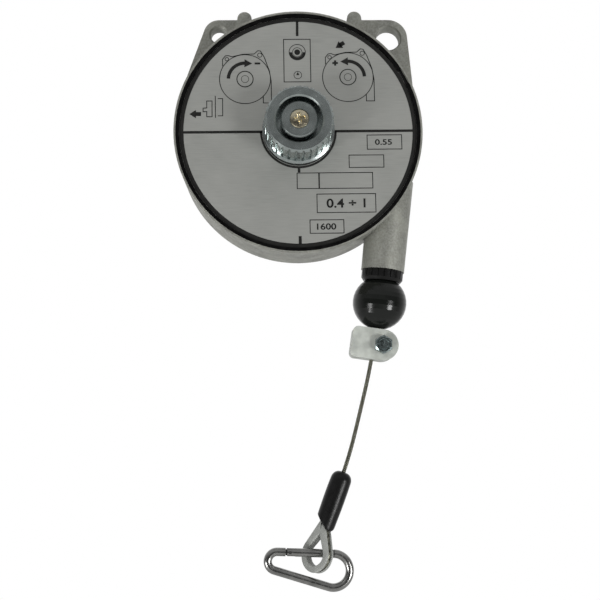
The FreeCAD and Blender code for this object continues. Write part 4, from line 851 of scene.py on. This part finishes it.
section = channel_section()
bow_from, bow_to = math.pi - eye_half, math.tau + eye_half
thimble_rings = [[leg_end(across, out, -1) for across, out in section]]
for i in range(BOW_STEPS + 1):
    turn = bow_from + (bow_to - bow_from) * i / BOW_STEPS
    thimble_rings.append([Vector(((EYE_RADIUS + out) * math.cos(turn), across,
                                  (EYE_RADIUS + out) * math.sin(turn)))
                          for across, out in section])
thimble_rings.append([leg_end(across, out, 1) for across, out in section])
thimble_mesh = bmesh.new()
add_tube(thimble_mesh, [[thimble_frame @ (point * MM) for point in ring]
                        for ring in thimble_rings])
thimble = as_piece("thimble_channel", thimble_mesh, dull_zinc)
thimble.data.set_sharp_from_angle(angle=FLANGE_CREASE)
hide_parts("thimble")
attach(thimble, "rope_end")
print("thimble:", len(thimble.data.polygons), "faces")

# %% [markdown]
# ## Laying the rope
#
# Now the strands go round the rope's line.

# %% Free rope
rope = laid_rope("rope_strands", rope_line, ROPE_THICK, ROPE_LAY, strand_finish)
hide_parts("rope")
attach(rope, "rope_end")
print("rope:", len(rope.data.polygons), "faces")

# %% [markdown]
# ## The rope that pays out
#
# Between the drum and the ball the rope is taut, and it grows as the ball
# goes down. Strands would be pulled out of shape by that, so this stretch
# is a plain round tube, and its finish draws the strands at its true
# position. The tube has no rings between the rope guide and the ball: when
# the ball moves away, only that one span gets longer, and it stays straight.
# STAYS is the share of the run that stays inside the housing.

# %% Taut rope
RUN_SIDES = 24
run_radius = ROPE_THICK / 2 * MM
run_low, run_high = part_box("rope_run")
run_top = Vector((run_high.x - run_radius, run_low.y + run_radius, run_high.z))
run_end = Vector((-6.0638, 0, -122.613)) * MM
STAYS = 62 / 77
run_hold = run_top.lerp(run_end, STAYS)
run_side, run_other = steady_frames([run_top, run_end])[0][1:]
run_mesh = bmesh.new()
add_tube(run_mesh, [[centre + run_radius * (math.cos(a) * run_side + math.sin(a) * run_other)
                     for a in (math.tau * k / RUN_SIDES for k in range(RUN_SIDES))]
                    for centre in (run_top, run_hold, run_end)])
taut_rope = as_piece("rope_taut", run_mesh, laid_finish)
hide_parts("rope_run")
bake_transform(taut_rope)
print("taut rope:", round((run_end - run_top).length / MM, 1), "mm at rest")

# %% [markdown]
# ## The knob's spring
#
# A short coil spring holds the knob against the ratchet. It sits between
# the knob's web and the disc, so it shortens by the knob's travel when the
# knob is pulled. Its size is read from the CAD spring, so the two agree.

# %% Knob spring
spring_low, spring_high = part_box("knob_spring")
WIRE, COILS, COIL_STEPS, WIRE_SIDES = 0.4 * MM, 3.5, 36, 10
spring_reach = (spring_high.x - spring_low.x) / 2 - WIRE
spring_long = spring_high.y - spring_low.y
coil = []
for i in range(int(COILS * COIL_STEPS) + 1):
    turn = math.tau * i / COIL_STEPS
    rise = WIRE + (spring_long - 2 * WIRE) * i / (COILS * COIL_STEPS)
    coil.append(Vector((LABEL_CENTRE.x + spring_reach * math.cos(turn), spring_low.y + rise,
                        LABEL_CENTRE.z + spring_reach * math.sin(turn))))
spring_mesh = bmesh.new()
rings = []
for point, (along, side, other) in zip(coil, steady_frames(coil)):
    rings.append([point + WIRE * (math.cos(a) * side + math.sin(a) * other)
                  for a in (math.tau * k / WIRE_SIDES for k in range(WIRE_SIDES))])
add_tube(spring_mesh, rings)
knob_spring = as_piece("knob_coil_spring", spring_mesh, blued)
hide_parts("knob_spring")
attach(knob_spring, "spindle")
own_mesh(knob_spring)
print("knob spring:", round(spring_long / MM, 2), "mm long")

# %% [markdown]
# ## Printing on the label
#
# The label's lines are black ink, a few hundredths of a millimetre thick.
# A texture could draw them, but real little solids have perfectly sharp
# edges and come along when the model is exported. Each mark is a flat
# outline in label millimetres that is pushed out by the ink's thickness.
# Two kinds are enough: a filled outline, and a band between two outlines.

# %% Ink helpers
INK_THICK = 0.03
black_ink = moulded("label_ink", (0.012, 0.012, 0.011), 0.45, 0.58, 0.8, 0.01)


def add_band(mesh, outer, inner, closed=True):
    """A band of ink between two outlines with the same number of points."""
    front = [[mesh.verts.new(from_label(x, INK_THICK, z)) for x, z in line]
             for line in (outer, inner)]
    rear = [[mesh.verts.new(from_label(x, -INK_THICK, z)) for x, z in line]
            for line in (outer, inner)]
    count = len(outer)
    for i in range(count if closed else count - 1):
        j = (i + 1) % count
        mesh.faces.new((front[0][i], front[0][j], front[1][j], front[1][i]))
        mesh.faces.new((rear[0][i], rear[1][i], rear[1][j], rear[0][j]))
        mesh.faces.new((front[0][i], rear[0][i], rear[0][j], front[0][j]))
        mesh.faces.new((front[1][i], front[1][j], rear[1][j], rear[1][i]))
    if not closed:
        for i in (0, count - 1):
            mesh.faces.new((front[0][i], front[1][i], rear[1][i], rear[0][i]))


def add_patch(mesh, outline):
    """A filled patch of ink."""
    front = [mesh.verts.new(from_label(x, INK_THICK, z)) for x, z in outline]
    rear = [mesh.verts.new(from_label(x, -INK_THICK, z)) for x, z in outline]
    mesh.faces.new(front)
    mesh.faces.new(list(reversed(rear)))
    for i in range(len(outline)):
        j = (i + 1) % len(outline)
        mesh.faces.new((front[i], rear[i], rear[j], front[j]))


def arc(middle, radius, start=0.0, end=360.0, steps=72):
    """Points on an arc, in label mm. A full circle doesn't repeat its first point."""
    full = abs(end - start) >= 360
    return [(middle[0] + radius * math.cos(a), middle[1] + radius * math.sin(a))
            for a in (math.radians(start + (end - start) * i / (steps if full else steps - 1))
                      for i in range(steps))]


def add_ring(mesh, middle, inner, outer, start=0.0, end=360.0, steps=72):
    add_band(mesh, arc(middle, outer, start, end, steps), arc(middle, inner, start, end, steps),
             abs(end - start) >= 360)


def add_line(mesh, points, wide):
    """A line of this width through the points, with mitred corners."""
    left, right_side = [], []
    for i, (x, z) in enumerate(points):
        before = Vector(points[max(i - 1, 0)])
        after = Vector(points[min(i + 1, len(points) - 1)])
        here = Vector((x, z))
        ways = [(here - before).normalized() if i else (after - here).normalized(),
                (after - here).normalized() if i < len(points) - 1
                else (here - before).normalized()]
        normals = [Vector((-way.y, way.x)) for way in ways]
        across = (normals[0] + normals[1]).normalized()
        reach = wide / 2 / max(across.dot(normals[0]), 0.4)
        left.append(tuple(here + across * reach))
        right_side.append(tuple(here - across * reach))
    add_band(mesh, left, right_side, False)


def ink_piece(title, mesh):
    piece = as_piece(title, mesh, black_ink, smooth=False)
    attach(piece, "balancer")
    print(title, len(piece.data.polygons), "faces")


# %% [markdown]
# ## Border and fields
#
# A heavy border follows the label's edge, a line divides it in two, a half
# ring runs round the knob's foot and short ticks mark top and bottom.

# %% Border
LINE = 1.3
border = bmesh.new()
add_ring(border, (0, 0), 56.2, 58.25, steps=180)
for x_from, x_to in ((-56.4, -17.6), (17.6, 56.4)):
    add_line(border, [(x_from, -0.25), (x_to, -0.25)], LINE)
add_ring(border, (0, 0), 17.75, 18.85, 180, 360, 90)
add_line(border, [(0.3, 56.5), (0.2, 48.8)], LINE)
add_line(border, [(0, -56.5), (0, -52.5)], 1.5)
add_line(border, [(0, -18.6), (0, -20.9)], LINE)
ink_piece("printed_border", border)

# %% [markdown]
# ## The two winding signs
#
# Two small drawings show a balancer from the front, with an arrow on each
# that says which way to turn the knob for less pull and for more. They are
# made by one function, so both share an outline, and only the arrow's
# direction and the sign beside it change.

# %% Winding signs
THIN, SIGN_WIDE, SIGN_HALF = 0.42, 1.0, 1.4
ARROW_LONG, ARROW_HALF = 3.2, 2.1


def add_arrow_head(mesh, tip, heading, long, half):
    """A filled triangle whose tip points along heading, in degrees."""
    way = Vector((math.cos(math.radians(heading)), math.sin(math.radians(heading))))
    side = Vector((-way.y, way.x))
    foot = Vector(tip) - way * long
    add_patch(mesh, [tuple(tip), tuple(foot + side * half), tuple(foot - side * half)])


def winding_sign(mesh, middle, winds_up):
    """A drawn balancer with a bent arrow, clockwise for less pull, else for more."""
    def at(*points):
        return [(middle[0] + x, middle[1] + z) for x, z in points]
    add_ring(mesh, middle, 12.35, 12.75, steps=96)
    add_ring(mesh, middle, 3.75, 4.25, steps=48)
    add_ring(mesh, middle, 1.7, 1.95, steps=32)
    add_line(mesh, at((-11.0, 6.6), (-11.0, 10.2), (-9.6, 12.0), (-8.2, 12.2), (-6.4, 11.5),
                      (-1.0, 12.8), (4.6, 12.9), (6.5, 14.6), (7.8, 14.4), (9.6, 11.2),
                      (12.0, 4.4), (12.9, -1.2), (12.9, -12.3), (8.9, -12.3), (8.9, -8.9)),
             THIN)
    add_ring(mesh, (middle[0] - 8.9, middle[1] + 10.3), 0.7, 1.05, steps=24)
    add_ring(mesh, (middle[0] + 7.4, middle[1] + 12.3), 0.9, 1.25, steps=24)
    turn = -1 if winds_up else 1
    bow = arc(middle, 8.2, 90 + turn * 88, 90 + turn * 1, 24)
    add_line(mesh, bow, 1.7)
    tip = (middle[0] + turn * 3.6, middle[1] + 8.0)
    add_arrow_head(mesh, tip, 90 - turn * 92, 3.8, ARROW_HALF)
    x, z = middle[0] + turn * 6.2, middle[1] + (7.3 if winds_up else 8.0)
    add_line(mesh, [(x - SIGN_HALF, z), (x + SIGN_HALF, z)], SIGN_WIDE)
    if winds_up:
        add_line(mesh, [(x, z + SIGN_HALF), (x, z + 0.51)], SIGN_WIDE)
        add_line(mesh, [(x, z - 0.51), (x, z - SIGN_HALF)], SIGN_WIDE)


signs = bmesh.new()
winding_sign(signs, (-25.9, 26.7), False)
winding_sign(signs, (25.0, 27.4), True)
add_arrow_head(signs, (19.2, 42.5), 213, ARROW_LONG, ARROW_HALF)
add_line(signs, [(21.1, 43.8), (23.5, 45.3)], 2.1)

# %% [markdown]
# Beside them, a framed drawing shows the knob from the front, and a small
# section shows that it has to be pulled outwards before it turns.

# %% Knob signs
KNOB_SIGN = (0.1, 40.4)
add_line(signs, [(-6.6, 47.1), (6.6, 47.1), (6.6, 25.1), (-6.6, 25.1), (-6.6, 47.3)], THIN)
add_ring(signs, KNOB_SIGN, 2.6, 4.2, 180, 360, 40)
add_ring(signs, KNOB_SIGN, 3.85, 4.2, 0, 180, 40)
add_ring(signs, KNOB_SIGN, 2.2, 2.5, steps=40)
add_patch(signs, arc(KNOB_SIGN, 1.45, steps=32))
add_ring(signs, (0.2, 28.6), 1.75, 2.05, steps=32)
add_arrow_head(signs, (0.2, 30.2), 90, 1.6, 0.8)

add_arrow_head(signs, (-53.3, 9.0), 180, ARROW_LONG, ARROW_HALF)
add_line(signs, [(-50.2, 9.0), (-47.6, 9.0)], 2.0)
for outline in (((-46.6, 12.0), (-44.8, 12.0), (-44.8, 15.6), (-42.2, 15.6), (-42.2, 7.6),
                 (-44.8, 7.6), (-44.8, 10.2), (-46.6, 10.2), (-46.6, 12.2)),
                ((-40.6, 18.2), (-40.6, 7.0)),
                ((-39.4, 16.8), (-37.0, 16.8), (-37.0, 8.0), (-39.4, 8.0))):
    add_line(signs, list(outline), THIN)
ink_piece("printed_signs", signs)

# %% [markdown]
# ## Value boxes
#
# Five framed boxes hold the maker's values. The numbers that belong to any
# balancer of this size are kept: its weight, the load range and the stroke.
# The others are left empty. Blender's own font supplies the figures. Each
# one is turned into a mesh and scaled to its height and width.

# %% Boxes


def add_box(mesh, left, top, right_edge, bottom):
    add_line(mesh, [(left, top), (right_edge, top), (right_edge, bottom), (left, bottom),
                    (left, top + 0.2)], THIN)


boxes = bmesh.new()
add_box(boxes, 33.7, -2.3, 50.7, -9.5)
add_box(boxes, 24.6, -12.4, 41.6, -18.6)
add_box(boxes, -1.0, -21.2, 35.9, -29.0)
add_line(boxes, [(9.7, -21.4), (9.7, -28.8)], 0.7)
add_box(boxes, 8.5, -31.8, 37.1, -41.0)
add_box(boxes, 4.9, -44.6, 21.3, -51.2)
ink_piece("printed_boxes", boxes)

# %% Figures


def add_figures(mesh, figures, middle, wide, high):
    """Figures in Blender's own font, scaled to this size and set on the label."""
    text = bpy.data.curves.new("figures", "FONT")
    text.body = figures
    text.resolution_u = 6
    text.offset = 0.022
    text.extrude = 0.01
    holder = bpy.data.objects.new("figures", text)
    scene.collection.objects.link(holder)
    bpy.context.view_layer.update()
    flat = bpy.data.meshes.new_from_object(
        holder.evaluated_get(bpy.context.evaluated_depsgraph_get()))
    low = [min(vertex.co[axis] for vertex in flat.vertices) for axis in range(3)]
    high_at = [max(vertex.co[axis] for vertex in flat.vertices) for axis in range(3)]
    for vertex in flat.vertices:
        share = [(vertex.co[axis] - low[axis]) / (high_at[axis] - low[axis])
                 for axis in range(3)]
        vertex.co = from_label(middle[0] + wide * (share[0] - 0.5),
                               INK_THICK * (2 * share[2] - 1),
                               middle[1] + high * (share[1] - 0.5))
    mesh.from_mesh(flat)
    bpy.data.objects.remove(holder)


values = bmesh.new()
add_figures(values, "0.55", (41.7, -5.9), 8.4, 2.9)
add_figures(values, "0.4 ÷ 1", (22.6, -36.4), 19.0, 4.6)
add_figures(values, "1600", (12.9, -47.9), 9.4, 3.2)
bmesh.ops.remove_doubles(values, verts=values.verts, dist=1e-6)
ink_piece("printed_values", values)
